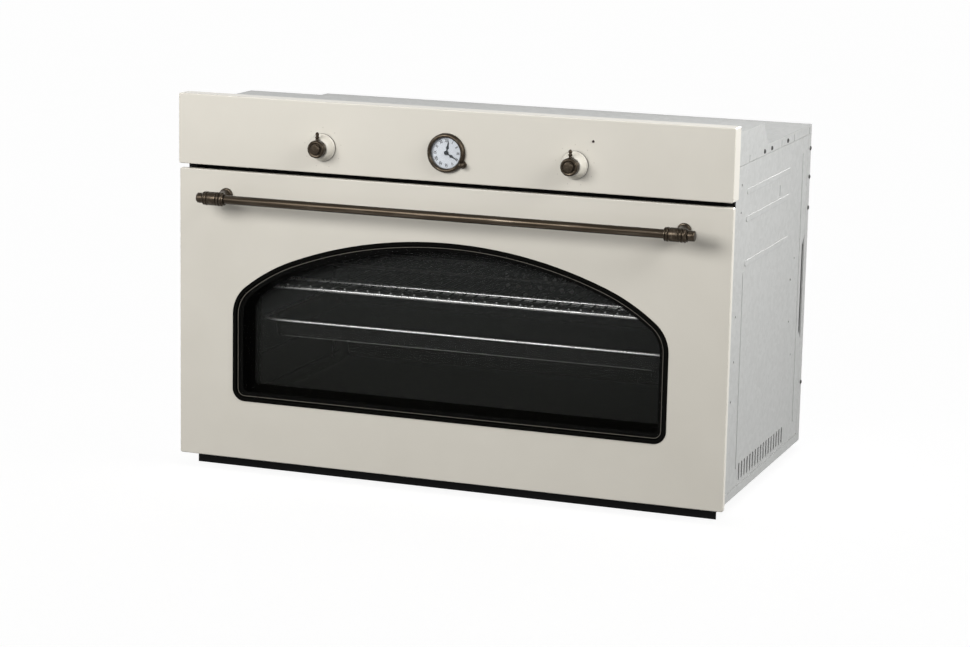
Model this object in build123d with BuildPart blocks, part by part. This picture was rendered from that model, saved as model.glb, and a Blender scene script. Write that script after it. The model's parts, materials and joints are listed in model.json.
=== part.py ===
from build123d import *
from math import asin, cos, degrees, radians, sin
import os

# Built-in oven, 90 cm wide: an enamelled cavity in a zinc-coated casing, behind a
# cream front with a drop-down door, an arched window, two knobs and a clock.
# Millimetres. X runs to the right, Y to the back and Z up. The origin lies on the
# resting plane, in the middle of the width and of the whole depth.

os.makedirs("parts", exist_ok=True)

# Front and sheet metal
front_width = 895.0
front_height = 595.0
sheet = 1.2
seam = 0.6  # gap between two sheets that meet edge to edge
front_rounding = 1.5
front_corner = 3.0  # corners of the panel and of the door, seen from the front
panel_height = 110.0
panel_depth = 28.0
panel_lip = 14.0
panel_gap = 7.5
door_rise = 20.0  # lower edge of the door above the resting plane
door_setback = 4.0  # door face behind the face of the control panel
skin_depth = 9.0

# Casing
casing_inset = 17.5  # side of the casing inside the side of the front
casing_drop = 54.0  # top of the casing below the top of the front
casing_depth = 538.0
casing_base = 12.0
base_lip = 13.5
base_gap = 2.4  # open line between the base pan and the side panels
cover_lip = 15.0
box_rise = 36.0  # raised control box above the casing top
box_depth = 227.0
box_foot = 258.0
frame_depth = 52.0
frame_drop = 5.0  # top of the front frame below the control panel
frame_shelf = 18.0
rear_wrap = 20.0  # side flanges of the back panel
joggle = 6.0
side_flange = 15.0  # front return flange of the side panels
trim_depth = 33.0
trim_height = 14.8
trim_flange = 42.0
rail_spacing = 600.0
rail_width = 44.0
rail_inset = 70.0
frame_shelf_inset = 16.0

# Flanges that are screwed to the cabinet
flange_reach = 13.0
flange_low = 46.0
cabinet_hole = 2.75
cabinet_hole_rise = 90.0
cabinet_hole_drop = 55.0  # upper holes below the control panel

# Side panel pressings
rib_width = 9.0
rib_height = 0.9
rib_first_drop = 59.0  # ribs below the casing top
rib_second_drop = 101.0
rib_third_drop = 169.0
rib_front = 142.0
rib_inset = 133.0  # rear end of the ribs in front of the casing back
bead_width = 7.0
bead_front = 137.0
bead_inset = 49.0
bead_low = 54.0
bead_front_drop = 179.0
bead_rear_drop = 41.0
vent_count = 17
vent_pitch = 16.4
vent_first = 154.0
vent_rise = 46.0
vent_height = 28.0
vent_width = 6.5
side_hole = 2.2
side_hole_pair = 69.0
side_hole_front = 100.0
side_hole_front_drop = 244.0
side_hole_inset = 105.0  # rear pair in front of the casing back
side_hole_rear_drop = 241.0
side_hole_low_depth = 90.0
side_hole_low_drop = 373.0
side_hole_top_depth = 111.0
side_hole_top_drop = 45.0
side_hole_top_pair = 42.0
side_hole_outer_inset = 84.0
side_hole_outer_drop = 209.0
side_hole_outer_pair = 159.0
side_slot_inset = 195.0
side_slot_drop = 84.0
side_slot_height = 18.0
side_slot_width = 2.4
notch_low_lift = 162.5  # rear notch above the base lip
notch_high_drop = 164.0  # and below the lip of the top cover
notch_depth = 15.0
cover_slot_width = 2.6
cover_slot_height = 11.0
cover_slot_first = 85.0  # behind the foot of the raised box
cover_slot_pitch = 80.0
cover_slot_rear = 16.0
box_slot_depth = 150.0

# Cavity
cavity_inset = 80.0  # side of the cavity inside the side of the casing
cavity_drop = 40.0  # top of the cavity below the top of the front frame
cavity_floor = 100.0
cavity_depth = 402.0
cavity_corner = 10.0
insulation_wall = 25.0
wool_play = 1.0
element_room = 14.0
seal_width = 8.0
seal_margin = 12.0
seal_gap = 0.4

# Side racks, shelf and tray
rack_post = 3.0
rack_wire = 2.5
rack_front = 33.0  # first post behind the cavity mouth
rack_span = 300.0
rack_overhang = 10.0
rack_bite = 1.0
level_lift = 21.0  # lowest level above the cavity floor
level_drop = 49.0  # highest level below the cavity top
level_count = 6
tray_level = 2
shelf_level = 3
slide_play = 0.3
shelf_setback = 20.0  # shelf and tray behind the cavity mouth
shelf_depth = 336.0
shelf_bend = 14.0
shelf_bar_first = 74.0
shelf_bar_second = 222.0
shelf_rod = 3.0
shelf_wire = 1.6
shelf_wire_pitch = 19.5
shelf_side_play = 1.0
tray_sheet = 1.0
tray_drop = 26.0
tray_taper = 8.0
tray_rim = 14.0
tray_corner = 28.0
pan_corner = 24.0

# Heating elements
element_radius = 3.5
grill_drop = 12.0  # below the cavity top
grill_inset = 70.0  # inside the side of the cavity
grill_inner = 100.0
element_front = 48.0  # bend behind the cavity mouth
grill_inner_inset = 154.0
element_inset = 74.0  # rear bend in front of the cavity back
element_bend = 26.0
leg_half = 40.0
element_tail = 18.0
bottom_inset = 90.0

# Convection fan
fan_radius = 70.0
fan_width = 18.0
fan_gap = 5.0
fan_blades = 12
fan_shaft = 4.0
fit = 0.05  # radial clearance of a shaft in its bore
cover_size = 230.0
cover_stand = 34.0
cover_corner = 30.0
motor_radius = 36.0
motor_length = 46.0
motor_wall = 4.0

# Cooling fan
blower_x = -40.0
blower_length = 180.0
blower_setback = 80.0  # axis behind the foot of the raised box
blower_drop = 29.0  # axis below the casing top
blower_radius = 23.0
blower_blades = 24
blower_shaft = 2.5
blower_case = 27.0
blower_motor_radius = 22.0
blower_motor_length = 42.0

# Lamp
lamp_inset = 110.0
lamp_drop = 48.0  # below the cavity top
lamp_lens_radius = 22.0
lamp_lens_height = 14.0
lamp_lens_bore = 13.0
lamp_lens_rounding = 9.0
lamp_holder_radius = 17.0
lamp_holder_length = 40.0
lamp_socket_radius = 14.0
lamp_socket_depth = 26.0

# Controls
knob_x = 203.0
knob_drop = 70.0  # knob axis below the top of the front
knob_gap = 0.6
skirt_radius = 21.5
skirt_rim = 3.0
skirt_shoulder = 19.6
skirt_nose = 14.8
skirt_height = 17.0
cap_radius = 13.6
cap_height = 12.0
cap_bore = 6.0  # depth to which the spindle enters the cap
button_radius = 7.0
button_height = 3.0
pointer_tip = 26.0
pointer_radius = 1.5
pointer_bead = 2.4
spindle_radius = 3.0
spindle_length = 78.0
spindle_bite = 20.0  # bore of the switch behind the bracket
spindle_hole = 5.5
bracket_side = 117.0  # end of the bracket outside the knob axis
bracket_depth = 54.0
bracket_flange = 16.0
switch_size = 44.0
switch_depth = 34.0
bushing_radius = 5.0
indicator_offset = 28.0  # right of the right knob
indicator_drop = 33.0
indicator_radius = 2.0
indicator_length = 14.0
indicator_collar = 1.5
indicator_proud = 1.0

# Clock
clock_drop = 65.0
bezel_radius = 30.0
bezel_opening = 23.6
bezel_height = 8.0
dial_radius = 25.6
dial_sheet = 0.8
case_boss = 26.4
case_radius = 29.0
case_depth = 34.0
glass_sheet = 1.2
glass_recess = 1.6
post_radius = 1.0
hand_sheet = 0.5
hand_gap = 0.5
hand_hub = 3.4
minute_length = 20.0
minute_width = 1.8
minute_turn = 120.0  # clockwise from twelve
hour_length = 18.0
hour_width = 2.0
hour_turn = 10.0
setter_turn = 121.5
setter_orbit = 31.0
setter_radius = 4.5
setter_stem = 1.5
setter_reach = 15.0
setter_lug = 6.0

# Window
window_inset = 91.8  # side of the window inside the side of the door
window_drop = 85.8  # crown of the window below the top of the door
window_lift = 93.5  # sill of the window above the foot of the door
window_corner = 20.0
crown_radius = 695.0
haunch_radius = 296.0
shoulder_radius = 57.4
crown_turn = 21.5
gasket_width = 5.5
gasket_cover = 2.0
gasket_proud = 1.3
pane = 4.0
pane_margin = 19.0

# Door
liner_inset = 22.5  # side of the inner frame inside the side of the door
liner_lift = 4.0
liner_drop = 7.5
door_inner = 45.0  # inner face of the door behind the face of the panel
liner_lip = 38.0
apron_lift = 32.0  # lower edge of the inner pane above the foot of the door
glass_side_gap = 4.0
clip_inset = 125.0
clip_width = 24.0
clip_sheet = 1.0
clip_grip = 4.0

# Hinges
hinge_inset = 23.0  # hinge inside the side of the casing
hinge_depth = 14.0
hinge_lift = 12.0  # hinge axis above the foot of the door
arm_width = 12.0
arm_height = 10.0
arm_head = 6.0
arm_plate = 3.0
arm_plate_low = 14.0
arm_plate_high = 48.0
hinge_pin = 3.0
notch_play = 2.5
notch_room = 7.0  # notch in the inner frame above the hinge axis
channel_height = 110.0
channel_back = 38.0

# Handle
handle_drop = 37.5  # bar axis below the top of the door
handle_standoff = 48.0  # bar axis in front of the door face
bar_radius = 7.0
bar_left_inset = 65.0
bar_right_inset = 54.5
ring_radius = 11.0
ring_length = 8.0
barrel_radius = 10.2
barrel_length = 15.0
ring_pair_length = 12.0
groove = 1.2
post_root = 8.0
rosette_radius = 11.5
rosette_sheet = 4.0
finial_radius = 8.0
finial_length = 11.0
handle_screw = 2.5
screw_bite = 16.0  # length of the screw inside the post

# Screws and cable gland
screw_head = 3.6
screw_head_height = 2.0
screw_shank = 1.75
screw_length = 8.0
gland_inset = 95.0  # inside the side of the casing
gland_drop = 61.0  # below the casing top
gland_bore = 5.0
gland_radius = 8.0
gland_nut = 11.0
gland_reach = 14.0
gland_inside = 12.0

# Screws that hold the sheets of the casing
wrap_screw_lift = 86.5  # above the base lip
wrap_screw_drops = (137.0, 86.0, 39.0)  # below the casing top
wrap_screw_inset = 5.0
cover_screw_first = 22.0  # behind the foot of the raised box
cover_screw_pitch = 100.0
cover_screw_drop = 9.0
box_screw_inset = 21.0
back_screw_inset = 20.0
back_screw_lift = 34.5
back_screw_drops = (251.0, 41.0)

# Places worked out from the sizes above
half_front = front_width / 2
half_casing = half_front - casing_inset
casing_width = 2 * half_casing
casing_top = front_height - casing_drop
half_cavity = half_casing - cavity_inset
cavity_width = 2 * half_cavity
panel_bottom = front_height - panel_height
door_top = panel_bottom - panel_gap
base_line = casing_base + base_lip
cover_line = casing_top - cover_lip
flange_high = panel_bottom - seam
box_top = casing_top + box_rise
frame_back = frame_depth + sheet
rear_line = casing_depth - rear_wrap
frame_top = panel_bottom - frame_drop
cavity_top = frame_top - cavity_drop
cavity_height = cavity_top - cavity_floor
cavity_middle = cavity_floor + cavity_height / 2
cavity_end = frame_depth + cavity_depth
level_first = cavity_floor + level_lift
level_pitch = (cavity_height - level_lift - level_drop) / (level_count - 1)
shelf_front = frame_depth + shelf_setback
fan_rise = cavity_middle
grill_rise = cavity_top - grill_drop
grill_half = half_cavity - grill_inset
bottom_half = half_cavity - bottom_inset
lamp_x = lamp_inset - half_cavity
lamp_rise = cavity_top - lamp_drop
knob_rise = front_height - knob_drop
clock_rise = front_height - clock_drop
indicator_x = knob_x + indicator_offset
indicator_rise = front_height - indicator_drop
window_half = half_front - window_inset
window_top = door_top - window_drop
window_bottom = door_rise + window_lift
liner_half = half_front - liner_inset
liner_low = door_rise + liner_lift
liner_high = door_top - liner_drop
apron_top = door_rise + apron_lift
clip_x = liner_half - clip_inset
hinge_x = half_casing - hinge_inset
hinge_rise = door_rise + hinge_lift
handle_rise = door_top - handle_drop
gland_x = half_casing - gland_inset
gland_rise = casing_top - gland_drop
bar_depth = door_setback - handle_standoff
skin_back = door_setback + sheet
glass_face = door_inner - pane
bracket_length = ring_length + barrel_length + ring_pair_length
bar_left = bar_left_inset - half_front
bar_right = half_front - bar_right_inset
bracket_starts = (bar_left, bar_right - bracket_length)
front_reach = -bar_depth + ring_radius
rear_reach = casing_depth + gland_reach
front_y = (front_reach - rear_reach) / 2
crown_sine = sin(radians(crown_turn))
haunch_sine = (window_half - (crown_radius - haunch_radius) * crown_sine - shoulder_radius) / (
    haunch_radius - shoulder_radius
)
haunch_turn = degrees(asin(haunch_sine))


def behind(depth):
    """Y at this depth behind the face of the control panel."""
    return front_y + depth


def upright(depth, x=0.0, z=0.0):
    """Upright plane at a depth, facing the front, so that it extrudes forward."""
    return Plane(origin=(x, behind(depth), z), x_dir=(1, 0, 0), z_dir=(0, -1, 0))


def sideways(x, depth=0.0, z=0.0):
    """Upright plane across X, with Y and Z as its own directions."""
    return Plane(origin=(x, behind(depth), z), x_dir=(0, 1, 0), z_dir=(1, 0, 0))


def slab(x_span, depth_span, z_span, mode=Mode.ADD):
    """Box between two corners, given as spans of X, depth and Z."""
    (x0, x1), (d0, d1), (z0, z1) = (sorted(span) for span in (x_span, depth_span, z_span))
    with Locations(((x0 + x1) / 2, behind((d0 + d1) / 2), (z0 + z1) / 2)):
        Box(x1 - x0, d1 - d0, z1 - z0, mode=mode)


def rod(start, end, radius, mode=Mode.ADD):
    """Round rod between two points, given as X, depth and Z."""
    first = Vector(start[0], behind(start[1]), start[2])
    last = Vector(end[0], behind(end[1]), end[2])
    with Locations(Plane(origin=first, z_dir=last - first)):
        Cylinder(radius, (last - first).length, align=(Align.CENTER, Align.CENTER, Align.MIN), mode=mode)


def turned(x, z, outline, mode=Mode.ADD):
    """Turned solid about an axis along Y; the outline holds radius and depth."""
    with BuildSketch(Plane(origin=(x, front_y, z), x_dir=(1, 0, 0), z_dir=(0, 0, 1))) as profile:
        with BuildLine():
            Polyline(*outline, close=True)
        make_face()
    revolve(profile.sketch, axis=Axis((x, 0, z), (0, 1, 0)), mode=mode)


def screw(x, depth, z, direction, length=screw_length):
    """Pan-head screw whose head stands out along a direction from a surface point."""
    out = Vector(direction)
    tip = (x - out.X * length, depth - out.Y * length, z - out.Z * length)
    top = (x + out.X * screw_head_height, depth + out.Y * screw_head_height, z + out.Z * screw_head_height)
    rod((x, depth, z), top, screw_head)
    rod((x, depth, z), tip, screw_shank)


def screw_hole(x, depth, z, direction, length=screw_length):
    """Hole that the shank of a screw fills."""
    out = Vector(direction)
    tip = (x - out.X * length, depth - out.Y * length, z - out.Z * length)
    rod((x, depth, z), tip, screw_shank, mode=Mode.SUBTRACT)


def keep(piece, name):
    """Label a finished piece and write it."""
    piece.part.label = name
    export_step(piece.part, f"parts/{name}.step")


# Screw places, shared by the sheets and the screws themselves
wrap_screw_rises = (base_line + wrap_screw_lift, *(casing_top - drop for drop in wrap_screw_drops))
wrap_screw_depth = casing_depth - wrap_screw_inset
cover_screw_depths = (box_foot + cover_screw_first, box_foot + cover_screw_first + cover_screw_pitch)
cover_screw_rise = casing_top - cover_screw_drop
box_screw_depth = box_foot - box_screw_inset
back_screw_x = half_casing - back_screw_inset
back_screw_rises = (base_line + back_screw_lift, *(casing_top - drop for drop in back_screw_drops))

# Base pan
with BuildPart() as base_pan:
    slab((-half_casing, half_casing), (frame_back, casing_depth), (casing_base, casing_base + sheet))
    for side in (-1, 1):
        side_span = (side * half_casing, side * (half_casing - sheet))
        slab(side_span, (frame_back, casing_depth), (casing_base, base_line))
    slab((-half_casing, half_casing), (casing_depth - sheet, casing_depth), (casing_base, base_line))
keep(base_pan, "base_pan")

# Skid rails under the base
with BuildPart() as base_rails:
    for side in (-1, 1):
        inner, outer = side * rail_spacing / 2 - rail_width / 2, side * rail_spacing / 2 + rail_width / 2
        rail_span = (frame_back + rail_inset, casing_depth - rail_inset / 2)
        slab((inner, outer), rail_span, (0, casing_base))
        slab((inner + sheet, outer - sheet), rail_span, (sheet, casing_base), mode=Mode.SUBTRACT)
keep(base_rails, "base_rails")

# Black strip below the door
with BuildPart() as bottom_trim:
    slab((-half_casing + seam, half_casing - seam), (trim_depth, trim_depth + sheet), (0, trim_height))
    slab(
        (-half_casing + seam, half_casing - seam),
        (trim_depth, trim_depth + trim_flange),
        (casing_base - sheet, casing_base),
    )
keep(bottom_trim, "bottom_trim")


def side_panel(side):
    """Zinc-coated side panel with its ribs, beads, vents and holes."""
    outside = side * half_casing
    inside = side * (half_casing - sheet)
    vent_last = vent_first + (vent_count - 1) * vent_pitch
    rib_rear = casing_depth - rib_inset
    notch_low = base_line + notch_low_lift
    notch_high = cover_line - notch_high_drop
    front_pair = casing_top - side_hole_front_drop
    rear_pair = casing_top - side_hole_rear_drop
    rear_pair_depth = casing_depth - side_hole_inset
    top_pair = casing_top - side_hole_top_drop
    outer_pair_depth = casing_depth - side_hole_outer_inset
    outer_pair = casing_top - side_hole_outer_drop
    with BuildPart() as panel:
        with BuildSketch(sideways(inside)):
            with BuildLine():
                Polyline(
                    (frame_back, base_line + base_gap),
                    (rear_line, base_line + base_gap),
                    (rear_line, notch_low),
                    (rear_line - notch_depth, notch_low + notch_depth),
                    (rear_line - notch_depth, notch_high - notch_depth),
                    (rear_line, notch_high),
                    (rear_line, cover_line - seam),
                    (panel_depth, cover_line - seam),
                    (panel_depth, panel_bottom),
                    (frame_back, panel_bottom),
                    close=True,
                )
            make_face()
            with Locations(((vent_first + vent_last) / 2, vent_rise)):
                with GridLocations(vent_pitch, 1, vent_count, 1):
                    SlotOverall(vent_height, vent_width, rotation=90, mode=Mode.SUBTRACT)
            with Locations(
                (side_hole_front, front_pair),
                (side_hole_front, front_pair - side_hole_pair),
                (rear_pair_depth, rear_pair),
                (rear_pair_depth, rear_pair - side_hole_pair),
                (side_hole_low_depth, casing_top - side_hole_low_drop),
                (side_hole_top_depth, top_pair),
                (side_hole_top_depth, top_pair - side_hole_top_pair),
                (outer_pair_depth, outer_pair),
                (outer_pair_depth, outer_pair - side_hole_outer_pair),
            ):
                Circle(side_hole, mode=Mode.SUBTRACT)
            with Locations((casing_depth - side_slot_inset, casing_top - side_slot_drop)):
                SlotOverall(side_slot_height, side_slot_width, rotation=90, mode=Mode.SUBTRACT)
        extrude(amount=side * sheet)
        with BuildSketch(sideways(outside)):
            for drop in (rib_first_drop, rib_second_drop, rib_third_drop):
                with Locations(((rib_front + rib_rear) / 2, casing_top - drop)):
                    SlotOverall(rib_rear - rib_front, rib_width)
            beads = (
                (bead_front, casing_top - bead_front_drop),
                (casing_depth - bead_inset, casing_top - bead_rear_drop),
            )
            for depth, high in beads:
                with Locations((depth, (bead_low + high) / 2)):
                    SlotOverall(high - bead_low, bead_width, rotation=90)
        extrude(amount=side * rib_height)
        crown = panel.faces().filter_by(Axis.X).sort_by(Axis.X)[-5:] if side > 0 else (
            panel.faces().filter_by(Axis.X).sort_by(Axis.X)[:5]
        )
        fillet(crown.edges(), rib_height * 0.8)
        slab(
            (outside, side * (half_casing - side_flange)),
            (frame_back, frame_back + sheet),
            (base_line + seam, frame_top - sheet - seam),
        )
        slab(
            (inside, side * (half_casing - 2 * sheet)),
            (frame_back + sheet, rear_line),
            (casing_base + sheet, base_line + joggle),
        )
        slab(
            (inside, side * (half_casing - 2 * sheet)),
            (frame_back + sheet, rear_line),
            (cover_line - joggle, casing_top - sheet),
        )
    return panel


left_side_panel = side_panel(-1)
keep(left_side_panel, "left_side_panel")
right_side_panel = side_panel(1)
keep(right_side_panel, "right_side_panel")

# Back panel
with BuildPart() as back_panel:
    with BuildSketch(upright(casing_depth)):
        with Locations((0, (base_line + cover_line) / 2)):
            Rectangle(casing_width, cover_line - base_line - 2 * seam)
        with Locations((0, cover_line - 32)):
            with GridLocations(14, 1, 22, 1):
                SlotOverall(34, 6, rotation=90, mode=Mode.SUBTRACT)
        with Locations((0, base_line + 40)):
            with GridLocations(14, 1, 30, 1):
                SlotOverall(30, 6, rotation=90, mode=Mode.SUBTRACT)
        with Locations((0, fan_rise)):
            with PolarLocations(motor_radius + 18, 16):
                SlotOverall(26, 6, mode=Mode.SUBTRACT)
        with Locations((gland_x, gland_rise)):
            Circle(gland_radius, mode=Mode.SUBTRACT)
    extrude(amount=sheet)
    for side in (-1, 1):
        slab(
            (side * half_casing, side * (half_casing - sheet)),
            (rear_line + seam, casing_depth),
            (base_line + seam, cover_line - seam),
        )
        for rise in back_screw_rises:
            screw_hole(side * back_screw_x, casing_depth, rise, (0, 1, 0))
        # Inner flange that closes the gap behind the side panel
        slab(
            (side * (half_casing - sheet), side * (half_casing - 2 * sheet)),
            (rear_line, casing_depth - sheet),
            (base_line + joggle, cover_line - joggle),
        )
        for rise in wrap_screw_rises:
            screw_hole(side * half_casing, wrap_screw_depth, rise, (side, 0, 0))
keep(back_panel, "back_panel")

# Rear part of the top cover
with BuildPart() as top_cover:
    slab((-half_casing, half_casing), (box_foot, casing_depth), (casing_top - sheet, casing_top))
    slab((-half_casing, half_casing), (casing_depth - sheet, casing_depth), (cover_line, casing_top))
    for side in (-1, 1):
        side_span = (side * half_casing, side * (half_casing - sheet))
        slab(side_span, (box_foot, casing_depth), (cover_line, casing_top))
        slot_start = box_foot + cover_slot_first
        for depth in (slot_start, slot_start + cover_slot_pitch, casing_depth - cover_slot_rear):
            slab(
                (side * (half_casing + sheet), side * (half_casing - sheet)),
                (depth - cover_slot_width / 2, depth + cover_slot_width / 2),
                (cover_line, cover_line + cover_slot_height),
                mode=Mode.SUBTRACT,
            )
        for depth in cover_screw_depths:
            screw_hole(side * half_casing, depth, cover_screw_rise, (side, 0, 0))
    with BuildSketch(Plane.XY.offset(casing_top)):
        with Locations((0, behind((box_foot + casing_depth) / 2) - 60)):
            with GridLocations(12, 1, 24, 1):
                SlotOverall(60, 5, rotation=90)
    extrude(amount=-sheet, mode=Mode.SUBTRACT)
keep(top_cover, "top_cover")

# Raised front part of the top cover, over the controls
with BuildPart() as control_box_cover:
    outline = ((panel_depth, cover_line), (panel_depth, box_top), (box_depth, box_top), (box_foot, casing_top))
    with BuildSketch(sideways(-half_casing)):
        with BuildLine():
            Polyline(*outline, (box_foot, cover_line), close=True)
        make_face()
    extrude(amount=casing_width)
    with BuildSketch(sideways(sheet - half_casing)):
        with BuildLine():
            Polyline(
                (panel_depth - sheet, cover_line - 2 * sheet),
                (panel_depth - sheet, box_top),
                (box_depth, box_top),
                (box_foot, casing_top),
                (box_foot + 4 * sheet, casing_top),
                (box_foot + 4 * sheet, cover_line - 2 * sheet),
                close=True,
            )
        make_face()
        offset(amount=-sheet, kind=Kind.INTERSECTION)
    extrude(amount=casing_width - 2 * sheet, mode=Mode.SUBTRACT)
    slab(
        (sheet - half_casing, half_casing - sheet),
        (panel_depth - sheet, panel_depth + sheet),
        (cover_line - sheet, box_top - sheet),
        mode=Mode.SUBTRACT,
    )
    for side in (-1, 1):
        slab(
            (side * (half_casing + sheet), side * (half_casing - sheet)),
            (box_slot_depth - cover_slot_width / 2, box_slot_depth + cover_slot_width / 2),
            (cover_line, cover_line + cover_slot_height),
            mode=Mode.SUBTRACT,
        )
        screw_hole(side * half_casing, box_screw_depth, cover_screw_rise, (side, 0, 0))
keep(control_box_cover, "control_box_cover")

# Front frame with the flanges for the cabinet screws
with BuildPart() as front_frame:
    with BuildSketch(upright(frame_depth)):
        with Locations((0, (casing_base + frame_top) / 2)):
            Rectangle(casing_width, frame_top - casing_base)
        with Locations((0, cavity_middle)):
            RectangleRounded(
                cavity_width + 2 * sheet, cavity_height + 2 * sheet, cavity_corner + sheet, mode=Mode.SUBTRACT
            )
        for side in (-1, 1):
            with Locations((side * hinge_x, hinge_rise)):
                Rectangle(arm_width + 1, arm_height + 1, mode=Mode.SUBTRACT)
    extrude(amount=-sheet)
    slab(
        (frame_shelf_inset - half_casing, half_casing - frame_shelf_inset),
        (frame_back, frame_back + frame_shelf),
        (frame_top - sheet, frame_top),
    )
    for side in (-1, 1):
        slab(
            (side * half_casing, side * (half_casing - sheet)),
            (panel_depth, frame_back),
            (flange_low, flange_high),
        )
        slab(
            (side * (half_casing - sheet), side * (half_casing + flange_reach)),
            (panel_depth, panel_depth + sheet),
            (flange_low, flange_high),
        )
        for rise in (cabinet_hole_rise, panel_bottom - cabinet_hole_drop):
            hole_x = side * (half_casing + flange_reach / 2)
            rod(
                (hole_x, panel_depth - sheet, rise),
                (hole_x, panel_depth + 2 * sheet, rise),
                cabinet_hole,
                mode=Mode.SUBTRACT,
            )
keep(front_frame, "front_frame")

# Enamelled cavity: a wrapped shell and a back wall
with BuildPart() as cavity_shell:
    with BuildSketch(upright(frame_depth)):
        with Locations((0, cavity_middle)):
            RectangleRounded(cavity_width + 2 * sheet, cavity_height + 2 * sheet, cavity_corner + sheet)
            RectangleRounded(cavity_width, cavity_height, cavity_corner, mode=Mode.SUBTRACT)
    extrude(amount=-cavity_depth)
keep(cavity_shell, "cavity_shell")

with BuildPart() as cavity_back:
    with BuildSketch(upright(cavity_end)):
        with Locations((0, cavity_middle)):
            RectangleRounded(cavity_width + 2 * sheet, cavity_height + 2 * sheet, cavity_corner + sheet)
        with Locations((0, fan_rise)):
            Circle(fan_shaft + 2, mode=Mode.SUBTRACT)
        with Locations((lamp_x, lamp_rise)):
            Circle(lamp_holder_radius, mode=Mode.SUBTRACT)
        with Locations((-leg_half, grill_rise), (leg_half, grill_rise)):
            Circle(element_radius, mode=Mode.SUBTRACT)
    extrude(amount=-sheet)
keep(cavity_back, "cavity_back")

# Mineral wool round the cavity, with room for the bottom element
with BuildPart() as insulation:
    wool_end = cavity_end + sheet + insulation_wall
    wool_low = cavity_floor - sheet - element_room
    wool_high = cavity_top + sheet
    wool_half = half_cavity + sheet
    with BuildSketch(upright(frame_back)):
        with Locations((0, (wool_low + wool_high) / 2)):
            RectangleRounded(
                2 * (wool_half + insulation_wall), wool_high - wool_low + 2 * insulation_wall, insulation_wall
            )
    extrude(amount=-(wool_end - frame_back))
    slab((-wool_half, wool_half), (frame_depth, cavity_end + sheet), (wool_low, wool_high), mode=Mode.SUBTRACT)
    ways = [(0, fan_rise, motor_radius), (lamp_x, lamp_rise, lamp_holder_radius)]
    for side in (-1, 1):
        for rise in (grill_rise, cavity_floor - sheet - element_radius):
            ways.append((side * leg_half, rise, element_radius))
    for x, rise, radius in ways:
        rod((x, cavity_end, rise), (x, wool_end + 1, rise), radius + wool_play, Mode.SUBTRACT)
keep(insulation, "insulation")

# Door seal round the mouth of the cavity
with BuildPart() as door_seal:
    seal_reach = frame_depth - door_inner - seal_gap
    with BuildSketch(upright(frame_depth)):
        with Locations((0, cavity_middle)):
            grow = 2 * (seal_margin + seal_width)
            RectangleRounded(cavity_width + grow, cavity_height + grow, cavity_corner + grow / 2)
            inner_grow = 2 * seal_margin
            RectangleRounded(
                cavity_width + inner_grow,
                cavity_height + inner_grow,
                cavity_corner + inner_grow / 2,
                mode=Mode.SUBTRACT,
            )
    extrude(amount=seal_reach)
    fillet(door_seal.faces().sort_by(Axis.Y)[0].edges(), seal_width * 0.3)
keep(door_seal, "door_seal")


def side_rack(side):
    """Chromed wire rack that carries the shelf and the tray on one side."""
    post_x = side * (half_cavity - rack_post)
    wire_x = side * (half_cavity - 2 * rack_post - rack_wire + rack_bite)
    level_last = level_first + (level_count - 1) * level_pitch
    front_post = frame_depth + rack_front
    with BuildPart() as rack:
        post_low, post_high = level_first - rack_overhang, level_last + rack_overhang
        for depth in (front_post, front_post + rack_span):
            rod((post_x, depth, post_low), (post_x, depth, post_high), rack_post)
        for level in range(level_count):
            rise = level_first + level * level_pitch
            rod(
                (wire_x, front_post - rack_overhang, rise),
                (wire_x, front_post + rack_span + rack_overhang, rise),
                rack_wire,
            )
    return rack


left_side_rack = side_rack(-1)
keep(left_side_rack, "left_side_rack")
right_side_rack = side_rack(1)
keep(right_side_rack, "right_side_rack")


def element(points, rise):
    """Heating element bent along a flat path of X and depth points."""
    with BuildPart() as heater:
        with BuildLine() as path:
            FilletPolyline([(x, behind(depth), rise) for x, depth in points], radius=element_bend)
        with BuildSketch(Plane(origin=path.line @ 0, z_dir=path.line % 0)):
            Circle(element_radius)
        sweep()
    return heater


element_end = cavity_end + sheet + element_tail
grill_front = frame_depth + element_front
grill_back = cavity_end - grill_inner_inset
grill_rear = cavity_end - element_inset
grill_path = (
    (-leg_half, element_end),
    (-leg_half, grill_rear),
    (-grill_half, grill_rear),
    (-grill_half, grill_front),
    (-grill_inner, grill_front),
    (-grill_inner, grill_back),
    (grill_inner, grill_back),
    (grill_inner, grill_front),
    (grill_half, grill_front),
    (grill_half, grill_rear),
    (leg_half, grill_rear),
    (leg_half, element_end),
)
grill_element = element(grill_path, grill_rise)
keep(grill_element, "grill_element")

bottom_path = (
    (-leg_half, element_end),
    (-leg_half, grill_rear),
    (-bottom_half, grill_rear),
    (-bottom_half, grill_front),
    (bottom_half, grill_front),
    (bottom_half, grill_rear),
    (leg_half, grill_rear),
    (leg_half, element_end),
)
bottom_element = element(bottom_path, cavity_floor - sheet - element_radius)
keep(bottom_element, "bottom_element")

# Perforated cover in front of the convection fan
with BuildPart() as fan_cover:
    with BuildSketch(upright(cavity_end, z=fan_rise)):
        RectangleRounded(cover_size, cover_size, cover_corner)
    extrude(amount=cover_stand)
    fillet(fan_cover.faces().sort_by(Axis.Y)[0].edges(), 2.5)
    with BuildSketch(upright(cavity_end, z=fan_rise)):
        RectangleRounded(cover_size - 2 * sheet, cover_size - 2 * sheet, cover_corner - sheet)
    extrude(amount=cover_stand - sheet, mode=Mode.SUBTRACT)
    with BuildSketch(upright(cavity_end, z=fan_rise)):
        for orbit, count in ((18, 6), (34, 12), (50, 18), (66, 24)):
            with PolarLocations(orbit, count):
                Circle(4.2)
    extrude(amount=cover_stand + 1, mode=Mode.SUBTRACT)
keep(fan_cover, "fan_cover")

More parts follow.
